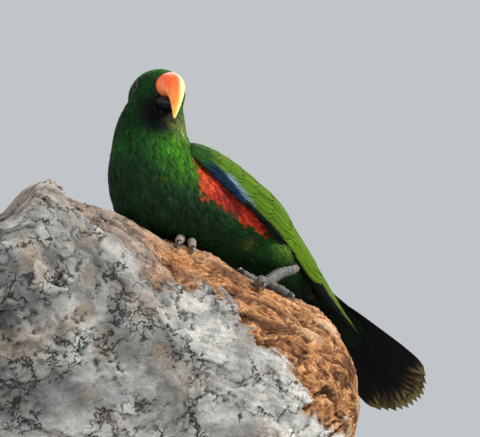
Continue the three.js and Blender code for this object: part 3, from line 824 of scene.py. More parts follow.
vaneShape = {
    "grid": (8, 16),
    "thick": 0.45,
    "ridge": 0.32,  # the shaft's, over the vane
    "camber": 0.35,
    "swept": 0.05,  # how far the edges lag behind the shaft, of the length
}
vaneOutline = table([[0, 0.42], [0.2, 0.8], [0.5, 0.98], [0.75, 1.0], [0.9, 0.84], [0.97, 0.55], [1.0, 0.12]])
coat = {"points": [], "faces": [], "tints": [], "uvs": [], "vanes": []}


def addVane(place, scale, feather, colour, centre, rng):
    # place(along, across, lift); scale(along) is the millimetres in one unit across; two faces and a rim
    across, along = feather.get("grid", vaneShape["grid"])
    u, t, quads = vaneGrid(across, along)
    share = vaneOutline(t)[:, 0]
    length = feather["tip"][0] - feather["root"][0]
    way = lerp(feather["root"][0], feather["tip"][0], t) - vaneShape["swept"] * abs(length) * u ** 2 * t ** 2
    bow = feather.get("bow", 0) * t * (1 - t) / scale(way)
    middle = lerp(feather["root"][1], feather["tip"][1], t) + bow
    fray = rng.normal(0, 0.35, len(u)) * (t > 0.9)
    wide = (u + feather.get("skew", 0.0) * (1 - u ** 2)) * feather["half"] * share
    lift = lerp(-feather["sink"], feather["rise"], np.sqrt(t)) + feather["tilt"] * u * share
    lift = lift + vaneShape["camber"] * (1 - u ** 2) * share
    shaft = vaneShape["ridge"] * np.exp(-(u / 0.12) ** 2) * (1 - t)
    thick = vaneShape["thick"] * (1 - 0.6 * t) * (1 - 0.6 * u ** 2)
    there = middle + wide / scale(way)
    top = place(way + fray, there, lift + thick / 2 + shaft)
    bottom = place(way + fray, there, lift - thick / 2 - shaft)
    count = len(u)
    index = np.arange(count).reshape(along + 1, across + 1)
    rim = np.concatenate([index[0, :], index[1:, -1], index[-1, -2::-1], index[-2:0:-1, 0]])
    nextRim = np.roll(rim, -1)
    walls = np.stack([nextRim, rim, rim + count, nextRim + count], -1)
    faces = np.concatenate([quads, quads[:, ::-1] + count, walls])
    tints = np.concatenate([colour(u, t, way, there, False), colour(u, t, way, there, True)])
    tone = math.exp(rng.normal(0, feather["tone"]))
    uvs = np.array(centre) + np.stack([u, 2 * t - 1], -1) * bakeSize
    vanes = np.stack([np.abs(u) * 1.6 - t * 0.9, t, np.full(count, rng.random())], -1)
    coat["faces"].append(faces + sum(len(p) for p in coat["points"]))
    coat["points"].append(np.concatenate([top, bottom]))
    coat["tints"].append(np.clip(tints * tone, 0, 1))
    coat["uvs"].append(np.concatenate([uvs, uvs]))
    coat["vanes"].append(np.concatenate([vanes, vanes]))


def finishCoat(name, replaced):
    whole = {key: np.concatenate(rows) for key, rows in coat.items()}
    mesh = meshFromArrays(name, whole["points"], whole["faces"], whole["tints"], whole["uvs"], whole["vanes"])
    mesh.materials.append(materials["feather"])
    piece = newObject(name, mesh)
    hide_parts(replaced)
    print(name, 2 * len(whole["faces"]), "triangles")
    for rows in coat.values():
        rows.clear()


# Each tier: how many feathers, and from its lowest to its highest: root and tip along, root and tip angle
wing = {
    "ends": (-9, 224),  # the plate below the feathers, along the wing
    "plateLow": table([[0, -8], [0.3, -12], [0.6, -13], [0.85, -9], [1, 4]]),
    "plateHigh": table([[0, 28], [0.12, 54], [0.4, 72], [0.65, 64], [0.85, 44], [1, 22]]),
    "plateLift": {"edge": -1.6, "outside": -0.7, "inside": -2.6},
    "spread": (1.08, 1.2),  # by chance, of each feather's width
    "paleEdge": np.array([0.16, 0.18, 0.16]),
    "tiers": [
        {"name": "primaries", "count": 9, "roots": (104, 94), "rootAngles": (-7, 30), "tips": (246, 186),
         "tipAngles": (5, 56), "half": 6.6, "rise": 0.6, "bow": -5},
        {"name": "secondaries", "count": 9, "roots": (90, 80), "rootAngles": (2, 68), "tips": (178, 152),
         "tipAngles": (2, 80), "half": 7.6, "rise": 1.2, "bow": 0},
        {"name": "primaryCoverts", "count": 6, "roots": (66, 66), "rootAngles": (-11, 14), "tips": (134, 122),
         "tipAngles": (-10, 12), "half": 4.8, "rise": 1.3, "bow": 0},
        {"name": "greater", "count": 12, "roots": (64, 58), "rootAngles": (-6, 70), "tips": (118, 108),
         "tipAngles": (-5, 76), "half": 5.6, "rise": 1.6, "bow": 0},
        {"name": "median", "count": 13, "roots": (46, 42), "rootAngles": (-9, 68), "tips": (88, 80),
         "tipAngles": (-9, 74), "half": 5.2, "rise": 1.4, "bow": 0},
        {"name": "lesser", "count": 14, "roots": (30, 28), "rootAngles": (-10, 64), "tips": (65, 58),
         "tipAngles": (-10, 70), "half": 4.7, "rise": 1.4, "bow": 0},
        {"name": "lesser", "count": 14, "roots": (18, 16), "rootAngles": (-10, 60), "tips": (47, 42),
         "tipAngles": (-10, 66), "half": 4.3, "rise": 1.4, "bow": 0},
        {"name": "lesser", "count": 13, "roots": (7, 6), "rootAngles": (-10, 56), "tips": (32, 28),
         "tipAngles": (-10, 60), "half": 4.1, "rise": 1.4, "bow": 0},
        {"name": "lesser", "count": 12, "roots": (-3, -3), "rootAngles": (-9, 52), "tips": (18, 15),
         "tipAngles": (-9, 54), "half": 3.9, "rise": 1.6, "bow": 0},
        {"name": "lesser", "count": 10, "roots": (-10, -10), "rootAngles": (-6, 42), "tips": (6, 4),
         "tipAngles": (-6, 46), "half": 3.7, "rise": 1.3, "bow": 0},
    ],
}


def wingColour(name):
    def colour(u, t, along, angle, under):
        if under:
            return np.broadcast_to(plumage["black"] * 1.2, (len(u), 3))
        # partly the wing's own yellow-green and partly painted light: yellower towards the top of the wing,
        # where the light falls, and further out
        yellow = smoothstep(10, 58, angle) * 0.55 + 0.2 * smoothstep(60, 140, along)
        base = blended(plumage["wingGreen"], plumage["wingYellowAndLight"], yellow)
        if name == "primaries":  # black below a thin pale line
            # black below the line: partly the dark flight feathers, partly painted shadow below the wing
            line = lerp(10.0, 2.0, np.clip((along - 150) / 90, 0, 1))
            base = blended(base, plumage["black"], smoothstep(line + 1.5, line - 1.5, angle))
            base = blended(base, wing["paleEdge"], np.exp(-((angle - line) / 1.1) ** 2) * 0.7)
        elif name != "secondaries":  # blue along the edge of the wing, with a pale strip over it
            line = lerp(1.0, -11.0, np.clip((along - 24) / 38, 0, 1))
            blue = smoothstep(2, 9, along) * smoothstep(62, 54, along)
            base = blended(base, plumage["blue"], smoothstep(line + 1.6, line - 0.6, angle) * blue)
            # painted sheen: a pale teal strip over the blue
            sheenStrip = smoothstep(line - 0.6, line + 0.8, angle) * smoothstep(line + 8.5, line + 6, angle)
            sheenStrip = sheenStrip * smoothstep(24, 34, along) * smoothstep(70, 62, along)
            base = blended(base, plumage["tealSheen"], sheenStrip)
            # black below the edge past the middle: partly the dark flight feathers, partly painted shadow
            black = smoothstep(-7, -8.5, angle) * smoothstep(50, 62, along)
            base = blended(base, plumage["black"], black)
            # painted shade: the wing's front made the darker body green
            front = smoothstep(20, 2, along) * smoothstep(50, 20, angle)
            base = blended(base, plumage["green"], front * 0.85)
        shaft = 1 - 0.22 * np.exp(-(u / 0.08) ** 2)
        streak = 1 + 0.09 * np.sin(u * 21 + along * 0.05) * np.clip(t * 2, 0, 1)
        cloudy = np.sin(angle * 0.37 + 2 * np.sin(along / 37)) * np.sin(along / 23 + angle * 0.09)
        # painted shade: each feather darker at its root, under the one over it, and along one edge
        shade = (0.86 + 0.2 * t) * (1 - 0.2 * np.clip(-u, 0, 1) ** 3)
        return base * (shade * shaft * streak * (1 + 0.22 * cloudy))[:, None]

    return colour


def makeWingPlate(sideName, side):
    # A thin closed plate below the feathers: the outside for u up to a half, the inside after it
    def place(u, v):
        low, high = wing["plateLow"](v)[..., 0], wing["plateHigh"](v)[..., 0]
        angle = lerp(low, high, 1 - np.abs(2 * u - 1))
        atEdge = (u <= 0.001) | (np.abs(u - 0.5) < 0.001) | (u >= 0.999)
        lifts = wing["plateLift"]
        lift = np.where(atEdge, lifts["edge"], np.where(u < 0.5, lifts["outside"], lifts["inside"]))
        return wingPoint(side, lerp(*wing["ends"], v), angle, lift)

    def tint(u, v, points):
        # painted shade: the plate below the feathers a darker green than them, black towards its lower edge
        # past the middle, partly the dark flight feathers and partly painted shadow
        base = np.broadcast_to(plumage["wingGreen"] * 0.7, points.shape)
        low = smoothstep(26, 10, wingPlace(points)[1])
        return blended(base, plumage["black"], smoothstep(0.42, 0.55, v) * low)

    name = f"wing_plate_{sideName}"
    plate = newObject(name, sheetMesh(name, 24, 40, place, tint=tint))
    plate.data.materials.append(materials["skin"])


def makeWing(sideName, side):
    rng = np.random.default_rng(seed + (3 if side > 0 else 4))
    makeWingPlate(sideName, side)

    def place(along, angle, lift):
        return wingPoint(side, along, angle, lift)

    def scale(along):
        return wingEnvelope(along)[..., 0] * degrees(1)

    for tier in wing["tiers"]:
        small = tier["name"] == "lesser"
        for i in range(tier["count"]):
            share = i / (tier["count"] - 1)
            along, angle = lerp(*tier["roots"], share), lerp(*tier["rootAngles"], share)
            feather = {
                "root": (along, angle),
                "tip": (lerp(*tier["tips"], share) + rng.normal(0, 1.2),
                        lerp(*tier["tipAngles"], share) + rng.normal(0, 0.7)),
                "half": tier["half"] * rng.uniform(*wing["spread"]),
                "sink": 0.9,
                "rise": tier["rise"] + rng.normal(0, 0.08),
                "tilt": -0.3 if small else -0.45,
                "bow": tier["bow"],
                "skew": 0 if small else -0.15,
                "grid": (6, 8) if small else vaneShape["grid"],
                "tone": 0.06,
            }
            centre = (0.5 + side * (0.1 + 0.35 * (angle + 20) / 110), 0.05 + 0.9 * (along + 12) / 260)
            addVane(place, scale, feather, wingColour(tier["name"]), centre, rng)
    finishCoat(f"wing_feathers_{sideName}", f"wing_{sideName}")


tail = {
    "feathers": 12,
    "halfSpread": 30,
    "half": 10.5,
    "shorter": {"left": 24, "right": 18},  # the outermost, than the middle ones
    "coreEnd": 76,
    "coreWidth": table([[0, 10], [0.4, 13], [1, 17]]),
    "covertHalf": 6.0,
    # the coverts over and under the root: how many, how far they spread and reach, over or under
    "coverts": [(9, 15, 76, 1), (7, 12, 52, 1), (9, 15, 90, -1), (9, 14, 66, -1), (7, 12, 44, -1)],
}


def tailColour(outer):
    def colour(u, t, along, across, under):
        if under:
            base = np.broadcast_to(plumage["black"], (len(u), 3))
            ragged = t + 0.02 * np.sin(u * 9 + outer * 5) + 0.018 * np.sin(u * 23 + outer * 3)
            base = blended(base, plumage["brown"], smoothstep(0.86, 0.92, ragged) * 0.6)
            tip = plumage["tipYellow"] * (0.75 + 0.35 * np.sin(u * 31 + outer * 7))[:, None]
            return blended(base, tip, smoothstep(0.915, 0.97, ragged) * 0.85)
        base = np.broadcast_to(lerp(plumage["green"], plumage["blue"], outer * 0.8), (len(u), 3))
        base = blended(base, plumage["black"], smoothstep(0.55, 0.95, t) * 0.5)
        return blended(base, plumage["tipYellow"], smoothstep(0.94, 0.98, t) * 0.6)

    return colour


def covertColour(top):
    # painted shade: the coverts under the tail nearly black-green, and each covert darker at its root
    shade = plumage["green"] if top > 0 else plumage["shadeGreen"] * 0.3

    def colour(u, t, along, across, under):
        return np.broadcast_to(shade, (len(u), 3)) * (0.6 + 0.5 * t)[:, None]

    return colour


def makeTail():
    rng = np.random.default_rng(seed + 9)

    def corePlace(u, v):
        x = -np.cos(2 * math.pi * u)
        thick = lerp(5.4, 1.2, v) * np.sin(2 * math.pi * u)
        return tailPoint(tail["coreEnd"] * v, x * tail["coreWidth"](v)[..., 0], thick - 2 * x * x * v)

    def coreTint(u, v, points):
        return np.broadcast_to(plumage["black"], points.shape)

    core = newObject("tail_core", sheetMesh("tail_core", 24, 12, corePlace, tint=coreTint))
    core.data.materials.append(materials["skin"])

    def add(feather, colour):
        centre = (0.5 + 0.4 * feather["tip"][1] / 40, 0.1 + 0.8 * feather["root"][0] / 170)
        addVane(tailPoint, np.ones_like, feather, colour, centre, rng)

    for i in range(tail["feathers"]):
        share = 2 * i / (tail["feathers"] - 1) - 1
        outer = abs(share)
        shorter = tail["shorter"]["left" if share > 0 else "right"]
        reach = bird["tailLength"] - shorter * outer ** 2 + rng.normal(0, 0.8)
        add({
            "root": (18, share * 9),
            "tip": (reach, share * tail["halfSpread"]),
            "half": tail["half"],
            "sink": -0.6 + 1.2 * outer,
            "rise": 1.5 - 5.4 * outer,
            "tilt": -0.8 * np.sign(share),
            "skew": 0.12 * np.sign(share),
            "grid": (10, 26),
            "tone": 0.12,
        }, tailColour(outer))
    for count, spread, reach, top in tail["coverts"]:
        layer = 3.2 + (90 - reach) * 0.03
        for i in range(count):
            share = 2 * i / (count - 1) - 1
            add({
                "root": (-4, share * 8),
                "tip": (reach - 10 * abs(share) + rng.normal(0, 1.5), share * spread),
                "half": tail["covertHalf"],
                "sink": -2.4 * top,
                "rise": layer * top - 2.2 * abs(share),
                "tilt": 0.5 * np.sign(share) * top,
                "grid": (6, 10),
                "tone": 0.15,
            }, covertColour(top))
    finishCoat("tail_feathers", "tail")


# Bill

upperBill = table([
    [0, 24.5, -2, 90, 11.4, 11.8], [1, 33.2, -3.4, 80, 11, 11.5], [2, 39.8, -9.3, 46, 9.5, 9.9],
    [3, 43, -16.8, 17, 7.1, 7.7], [4, 43.4, -24.4, 0, 5, 5.5], [5, 42, -32, -13, 3, 3.3],
    [6, 39.4, -40, -20, 0.6, 0.7],
])
lowerBill = table([
    [0, 19, -16, 96, 8.2, 11.5], [1, 26, -18.5, 100, 7.8, 11], [2, 32, -21, 108, 6.4, 9.4],
    [3, 36.5, -22.6, 116, 4.4, 6.6], [4, 38.5, -23.3, 118, 2.4, 3.6],
])


def billPlace(rows, last, ridge):
    def place(u, v):
        v = np.clip(v, 0, 1)
        row = rows(v * last)
        lean = np.radians(row[..., 2])
        angle = 2 * math.pi * u
        centre = np.stack([row[..., 0], np.zeros_like(v), row[..., 1]], -1)
        rise = np.stack([np.cos(lean), np.zeros_like(v), np.sin(lean)], -1)
        c, s = np.cos(angle), np.sin(angle)
        keel = 1 + ridge * np.exp(-(c / 0.32) ** 2) * (s > 0)
        cap = np.sqrt(np.clip(1 - (np.clip(v - 0.985, 0, 1) / 0.015) ** 2, 0, 1))
        across = (row[..., 4] * c * cap)[..., None] * np.array([0, 1.0, 0])
        up = (row[..., 3] * s * keel * cap)[..., None] * rise
        return inHead(centre + across + up)

    return place


billPaint = {
    "side": np.array([0.78, 0.20, 0.075]),
    "ridge": np.array([0.80, 0.105, 0.025]),
    "middle": np.array([0.88, 0.27, 0.05]),
    "tip": np.array([0.92, 0.55, 0.13]),
    "sunlitLeftFace": np.array([0.95, 0.80, 0.36]),
    "base": np.array([0.42, 0.06, 0.03]),
}


def upperBillTint(u, v, points):
    paint = billPaint
    top = smoothstep(-0.2, 0.6, np.sin(2 * math.pi * u))
    colour = blended(np.broadcast_to(paint["side"], points.shape), paint["ridge"], top)
    colour = blended(colour, paint["middle"], smoothstep(0.35, 0.7, v))
    colour = blended(colour, paint["tip"], smoothstep(0.68, 0.95, v))
    # painted light: pale yellow over the bill's left side, where the sun falls
    left = smoothstep(-0.05, 0.6, np.cos(2 * math.pi * u)) * smoothstep(0.06, 0.22, v)
    colour = blended(colour, paint["sunlitLeftFace"], left * 0.85)
    return blended(colour, paint["base"], smoothstep(0.10, 0.0, v) * 0.5)


def makeBill():
    def add(name, material, around, rings, place, tint=None):
        shell = newObject(f"{name}_shell", sheetMesh(f"{name}_shell", around, rings, place, tint=tint))
        shell.data.materials.append(materials[material])
        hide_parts(name)

    add("upper_bill", "horn", 48, 64, billPlace(upperBill, 6, 0.05), upperBillTint)
    add("lower_bill", "black", 40, 32, billPlace(lowerBill, 4, 0.0))
    print("bill")


# Eyes and lids

eye = {
    "place": (5.5, 20.6, 3.2),
    "radius": 5.4,
    "pupil": 0.42,
    "dark": np.array([0.004, 0.003, 0.003]),
    "iris": np.array([0.007, 0.003, 0.002]),  # added to the dark
    "lidRadius": 5.0,
    "lidThick": 1.0,
    "lidOut": 2.6,
    "lidSquash": {"upper": 0.86, "lower": 0.94},
}


def makeEyeball(sideName, side, centre):
    bm = bmesh.new()
    bmesh.ops.create_uvsphere(bm, u_segments=40, v_segments=24, radius=eye["radius"])
    layer = bm.verts.layers.float_color.new("tint")
    for vert in bm.verts:
        local = np.array(vert.co)
        out = math.hypot(local[0], local[2]) / eye["radius"]
        iris = smoothstep(eye["pupil"] - 0.03, eye["pupil"] + 0.03, out) * smoothstep(0.95, 0.75, out)
        facing = local[1] * side > 0
        vert[layer] = (*(eye["dark"] + (eye["iris"] * iris if facing else 0)), 1)
        vert.co = toWorld(inHead(local + centre))
    for face in bm.faces:
        face.smooth = True
    mesh = bpy.data.meshes.new(f"eyeball_{sideName}")
    bm.to_mesh(mesh)
    bm.free()
    mesh.materials.append(materials["eye"])
    ball = newObject(mesh.name, mesh)
    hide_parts(f"eye_{sideName}")


def makeEyelid(sideName, side, centre):
    def place(u, v):
        ring, tube = 2 * math.pi * u, 2 * math.pi * v
        thick = eye["lidThick"] * (1 + 0.1 * np.sin(ring * 14))
        radius = eye["lidRadius"] + thick * np.cos(tube) * 0.8
        squash = np.where(np.sin(ring) > 0, eye["lidSquash"]["upper"], eye["lidSquash"]["lower"])
        out = side * (eye["lidOut"] + thick * 0.75 * np.sin(tube))
        return inHead(np.stack([radius * np.cos(ring), out, radius * np.sin(ring) * squash], -1) + centre)

    lid = newObject(f"eyelid_{sideName}", sheetMesh(f"eyelid_{sideName}", 64, 12, place))
    lid.data.materials.append(materials["lid"])


def makeEyes():
    for sideName, side in (("left", 1), ("right", -1)):
        centre = np.array([eye["place"][0], side * eye["place"][1], eye["place"][2]])
        makeEyeball(sideName, side, centre)
        makeEyelid(sideName, side, centre)
    print("eyes")


# The limb: its place for a distance along and an angle round, the same as in the solids

limb = {
    "radius": 100,
    "slope": 15.5,
    "turn": 11,
    "up": 292,
    "down": 110,
    "middle": np.array([-2.0, 0, -166.0]),
    "knob": 234,
    "around": 320,
    "rows": 305,
    "endRows": 0.06,  # the share of the rows that goes over the sawn end
    "close": 0.55,  # how much closer the lines on the near side are
    "cutLight": np.array([0.40, 0.27, 0.15]),
    "cutDark": np.array([0.27, 0.16, 0.085]),
}


def limbAxes():
    rise = degrees(limb["slope"])
    level = np.array([0, -math.cos(rise), math.sin(rise)])
    along = turned(level, np.array([0, 0, 1.0]), -degrees(limb["turn"]))
    near = unit(np.cross([0, 0, 1.0], along))
    return along, near, np.cross(along, near)


limbAlong, limbNear, limbTop = limbAxes()


def roundingOf(along):
    # How full the limb is near its rounded end, and the share of the way to the full part
    fromEnd = np.clip((along + limb["down"]) / limb["radius"], 0, 1)
    return np.sqrt(1 - (1 - fromEnd) ** 2.4), fromEnd


def limbPoint(along, angle, lift=0.0, reach=1.0):
    along, angle = np.asarray(along, float), np.asarray(angle, float)
    rounding, fromEnd = roundingOf(along)
    swell = (1 + 0.035 * np.sin(along / 31 + 1.3) * np.cos(2 * angle - 0.6)
             + 0.025 * np.sin(along / 17 - 2 * angle) + 0.02 * np.cos(3 * angle + along / 43))
    flare = 1 + 0.08 * np.clip(along / limb["up"], 0, None) ** 2
    radius = (limb["radius"] * rounding * flare * (1 + (swell - 1) * rounding) + lift) * reach
    pastKnob = np.clip((along - limb["knob"]) / (limb["up"] - limb["knob"]), 0, 1)
    knob = 7 * np.exp(-(((along - limb["knob"]) / 24) ** 2))
    drop = 24 * smoothstep(245, 260, along)
    upperSide = np.clip(np.sin(angle), 0, None) * reach * rounding
    dip = (34 * (1 - fromEnd) ** 2 + 56 * pastKnob ** 1.3 + drop - knob) * upperSide
    return (limb["middle"] + along[..., None] * limbAlong + (np.cos(angle) * radius)[..., None] * limbNear
            + (np.sin(angle) * radius - dip)[..., None] * limbTop)


barkForm = {
    # how far round the worn, fibrous wood reaches down from the top, in degrees, by the distance along
    "rimLow": table([[-110, -30], [-74, -16], [-46, -20], [-11, -4], [34, 11], [54, 20], [80, 26],
                     [108, 25], [137, 20], [159, 25], [193, 36], [225, 46], [292, 60]]),
    "rimFar": 150,
    "rough": (120, 230),  # where the knobbly end begins and is fullest
    "hollow": (160, -8),
    # the height of each size of relief, and how much more it has at the knobbly end
    "large": 3.4,
    "middle": (1.1, 2.2),
    "small": (0.5, 1.5),
    "fine": (0.25, 0.6),
    "hollowDeep": 5.5,
    "sheetHigh": 1.5,
    "wrinkleHigh": 0.4,
    "tornDeep": 2.4,
    "pitDeep": 2.0,
    "pale": np.array([0.37, 0.365, 0.35]),
    "shade": np.array([0.12, 0.12, 0.117]),
    "stain": np.array([0.26, 0.20, 0.15]),
    "crack": np.array([0.035, 0.03, 0.028]),
    "rimLight": np.array([0.62, 0.34, 0.155]),
    "rimTan": np.array([0.56, 0.39, 0.24]),
    "rimMiddle": np.array([0.42, 0.165, 0.06]),
    "rimDark": np.array([0.075, 0.028, 0.015]),
    "knobGrey": np.array([0.24, 0.21, 0.185]),
}


def barkSpots(along, angle):
    # Waves of four sizes over the limb, shared by the bark and the worn wood
    turn = np.degrees(angle)
    turn = np.where(turn > 180, turn - 360, turn)
    wide = limb["radius"] * roundingOf(along)[0]
    place = np.stack([along, wide * np.cos(angle), wide * np.sin(angle)], -1)
    slow = [wobble(place, size, start) for size, start in ((19, 1.0), (21, 5.0), (17, 9.0))]
    warp = place + 9 * np.stack(slow, -1)
    quick = [wobble(place, size, start) for size, start in ((5, 2.0), (4.4, 6.0), (4.7, 3.0))]
    warp = warp + 2.5 * np.stack(quick, -1)
    waves = [wobble(warp, size, start) for size, start in ((48, 3.0), (21, 7.0), (8.5, 4.0), (3.6, 2.0))]
    return turn, place, warp, waves


def paperyBark(along, spots):
    # Papery sheets: one side of a wavy line stands over the other where the bark is loose
    form = barkForm
    turn, place, warp, (large, middle, small, fine) = spots
    loose = smoothstep(-0.1, 0.45, wobble(place, 37, 12.0) + 0.35 * smoothstep(60, 190, along))
    line = middle + 0.45 * small + 0.2 * fine
    sheet = smoothstep(-0.03, 0.03, line) * loose
    torn = np.exp(-((line + 0.035) / 0.045) ** 2) * loose
    split = wobble(warp * np.array([1.0, 0.5, 0.5]), 13, 20.0) + 0.12 * fine
    split = np.exp(-(split / 0.035) ** 2) * smoothstep(0.25, 0.6, wobble(place, 23, 30.0))
    rough = smoothstep(*form["rough"], along)
    pit = smoothstep(0.5, 0.8, small + 0.4 * fine) * (0.3 + 0.7 * rough)
    wrinkle = np.sin(turn * 1.9 + 7 * large + 3 * middle)
    wrinkle = wrinkle * smoothstep(160, 30, along) * smoothstep(-0.5, 0.5, small + large)
    offAlong, offTurn = (along - form["hollow"][0]) / 9, (turn - form["hollow"][1]) / 14
    hollow = np.exp(-(offAlong ** 2 + offTurn ** 2))
    hollow = hollow + 0.8 * smoothstep(0.25, 0.75, -large - 0.3 * middle) * rough

    height = form["large"] * large - form["hollowDeep"] * hollow
    for name, wave in (("middle", middle), ("small", small), ("fine", fine)):
        height = height + (form[name][0] + form[name][1] * rough) * wave
    height = height + form["sheetHigh"] * sheet + form["wrinkleHigh"] * wrinkle
    height = height - form["tornDeep"] * (torn + split) - form["pitDeep"] * pit

    # painted shade: the bark darker where its relief is low, towards the knobbly end and in the hollow, its
    # tone also rising and falling with the fine relief and the wrinkles
    shaded = np.clip(0.42 - 0.5 * large - 0.35 * middle - 0.25 * small + 0.2 * rough, 0, 1)
    colour = blended(np.broadcast_to(form["pale"], place.shape), form["shade"], shaded)
    colour = blended(colour, form["stain"], smoothstep(0.1, 0.7, wobble(place, 29, 15.0)) * 0.45)
    colour = colour * (1 + 0.10 * fine + 0.05 * wrinkle)[:, None]
    colour = blended(colour, form["shade"] * 0.6, np.clip(hollow, 0, 1) * 0.8)
    sunlit = 1.3 * smoothstep(40, -45, along + 25 * large) + 0.8 * smoothstep(-10, -45, turn)
    colour = colour * (1.05 + sunlit)[:, None]
    # the torn edges painted dark as the shadow below the lifted sheets; the splits and pits dark as cracks
    return height, blended(colour, form["crack"], np.clip(torn + split + 0.8 * pit, 0, 1) * 0.9)


def wornWood(along, spots):
    # The fibrous top, worn smooth in places, with ridges along it, and grey at the knobbly end
    form = barkForm
    turn, place, warp, (_, middle, small, _) = spots
    fibre = wobble(warp * np.array([0.6, 1.5, 1.5]), 3.6, 1.0)
    tuft = wobble(warp, 2.1, 13.0)
    grit = wobble(warp, 1.5, 21.0)
    ridges = wobble(place * np.array([0.28, 1, 1]) + 3 * (warp - place) / 9, 9, 17.0)
    plain = smoothstep(0.35, 0.62, wobble(place * np.array([0.45, 1, 1]), 19, 41.0))

    height = 2.2 * middle + 1.3 * small + 0.8 * fibre + 0.7 * tuft + 0.5 * grit - 0.6
    height = height + 2.0 * smoothstep(55, 80, turn)
    height = height - 2.4 * smoothstep(0.5, 0.75, -small + 0.4 * tuft)
    height = height - 1.2 * smoothstep(0.35, 0.7, -fibre + 0.5 * grit)
    height = lerp(height, 1.4 + 0.3 * fibre, plain * 0.8) + 1.5 * ridges

    # painted light and shade: the fibres lighter where raised and darker in the hollows and between the
    # ridges, with painted tan highlights towards the top, and the grey end lighter on its raised places
    light = np.clip(0.35 + 0.7 * fibre + 0.6 * tuft + 0.5 * grit, 0, 1)
    dark = np.clip(0.22 - 0.9 * small - 0.8 * fibre - 0.4 * grit, 0, 1)
    tanHighlight = smoothstep(48, 80, turn + 14 * middle) * np.clip(0.55 + 0.5 * small, 0, 1)
    grey = smoothstep(95, 170, along + 30 * middle - 0.5 * (turn - 45))
    wood = blended(form["rimMiddle"], form["rimLight"], light)
    wood = blended(wood, form["rimDark"], dark * 0.9)
    wood = blended(wood, form["rimTan"], tanHighlight * 0.7)
    wood = blended(wood, form["rimTan"], plain * 0.65)
    wood = blended(wood, form["rimDark"], smoothstep(-0.15, -0.7, ridges) * 0.75)
    return height, blended(wood, form["knobGrey"] * (1 + 0.35 * small + 0.3 * fibre)[:, None], grey * 0.85)


def barkSurface(along, angle):
    # Height and colour of the limb's surface
    form = barkForm
    spots = barkSpots(along, angle)
    turn, _, _, (_, middle, small, fine) = spots
    height, colour = paperyBark(along, spots)
    woodHeight, wood = wornWood(along, spots)
    low = form["rimLow"](along)[..., 0] + 6 * middle + 5 * small + 3 * fine
    far = form["rimFar"] + 6 * middle
    rim = smoothstep(-1.5, 2.5, turn - low) * smoothstep(2.5, -1.5, turn - far)
    lip = np.exp(-((turn - low) / 2.2) ** 2)
    height = lerp(height, woodHeight, rim) + 1.6 * lip * np.clip(0.5 + middle, 0, 1)
    return height, np.clip(blended(colour, wood, rim), 0, 1)


def makeLimb():
    def alongAt(v):
        inner = np.clip((v - limb["endRows"]) / (1 - limb["endRows"]), 0, 1)
        return lerp(limb["up"], -limb["down"], 1 - (1 - inner) ** 1.3)

    def angleAt(u):
        turn = 2 * math.pi * u
        return turn - limb["close"] * (np.sin(turn - degrees(40)) + math.sin(degrees(40)))

    def place(u, v):
        along, angle = alongAt(v), angleAt(u)
        height, _ = barkSurface(along, angle % (2 * math.pi))
        reach = np.clip(v / limb["endRows"], 0, 1) ** 0.7
        fade = smoothstep(0.0, 0.10, 1 - v) * smoothstep(0, 14, limb["up"] - along)
        points = limbPoint(along, angle, np.where(reach >= 1, height * fade - 0.5, -0.5), reach)
        rough = np.where(reach < 1, 0.5 * wobble(points, 7), 0)
        return points + rough[:, None] * limbAlong

    def tint(u, v, points):
        along = alongAt(v)
        _, colour = barkSurface(along, angleAt(u) % (2 * math.pi))
        reach = np.clip(v / limb["endRows"], 0, 1) ** 0.7
        ring = reach * 62 + 2.5 * wobble(points, 34) + 3 * reach * wobble(points, 60, 4)
        cut = blended(limb["cutLight"], limb["cutDark"], 0.5 + 0.5 * np.sin(ring))
        cut = blended(cut, barkForm["rimDark"], smoothstep(0.955, 0.97, reach))
        return np.where((reach < 1)[:, None], cut, colour)

    mesh = sheetMesh("limb_bark", limb["around"], limb["rows"], place, tint=tint)
    mesh.materials.append(materials["bark"])
    bark = newObject("limb_bark", mesh)
    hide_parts("perch_limb")
    print("limb", len(mesh.polygons), "faces")


# Legs and feet, with the same places as in the solids

legs = {
    "pad": 6.0,
    # each toe's thickness from the foot to the claw, and the claw's places past the toe's end
    "toeRadii": (1.1, 0.92, 1.06, 0.84, 0.98, 0.78, 0.84, 0.55),
    "clawSpots": ((-2.0, 0.9), (1.0, 1.15), (4.2, 1.2), (7.0, 0.8), (8.6, 0.1)),
    "clawRadii": (0.42, 0.58, 0.5, 0.31, 0.07),
    # the heels tan-pink; one grey for both feet, its toes made lighter on the right foot and darker on the
    # left as painted light and shade
    "tones": {"left": ((2.6, 1.7, 1.3), (0.9, 0.9, 0.95)), "right": ((1.6, 1.3, 1.1), (1.9, 1.6, 1.3))},
    "heels": {"left": np.array([30.0, 41, -46]), "right": np.array([-35.0, -34, -41])},
    "left": {"middle": (12, 74), "toes": [
        ("front_outer", 4.3, [(10, -8, 1.3), (15, -16, 1.15), (17, -23, 0.9)]),
        ("front_inner", 3.7, [(11, 1, 1.3), (19, 0, 1.1), (26, -2, 0.9)]),
        ("back_outer", 4.1, [(-6, -4, 1.3), (-11, -9, 1.15), (-15, -15, 0.9)]),
        ("back_inner", 3.6, [(-5, 6, 1.25), (-11, 11, 1.05), (-16, 15, 0.9)]),
    ]},
    "right": {"middle": (90, 86), "toes": [
        ("front_outer", 4.1, [(9, -7, 1.4), (15, -15, 1.2), (19, -23, 0.9)]),
        ("front_inner", 3.9, [(1, -8, 1.5), (4, -16, 1.2), (6, -24, 0.9)]),
        ("back_outer", 4.0, [(-9, 1, 1.3), (-18, 0, 1.1), (-26, -1, 0.9)]),
        ("back_inner", 3.6, [(-2, 6, 1.25), (-6, 11, 1.05), (-9, 15, 0.9)]),
    ]},
}


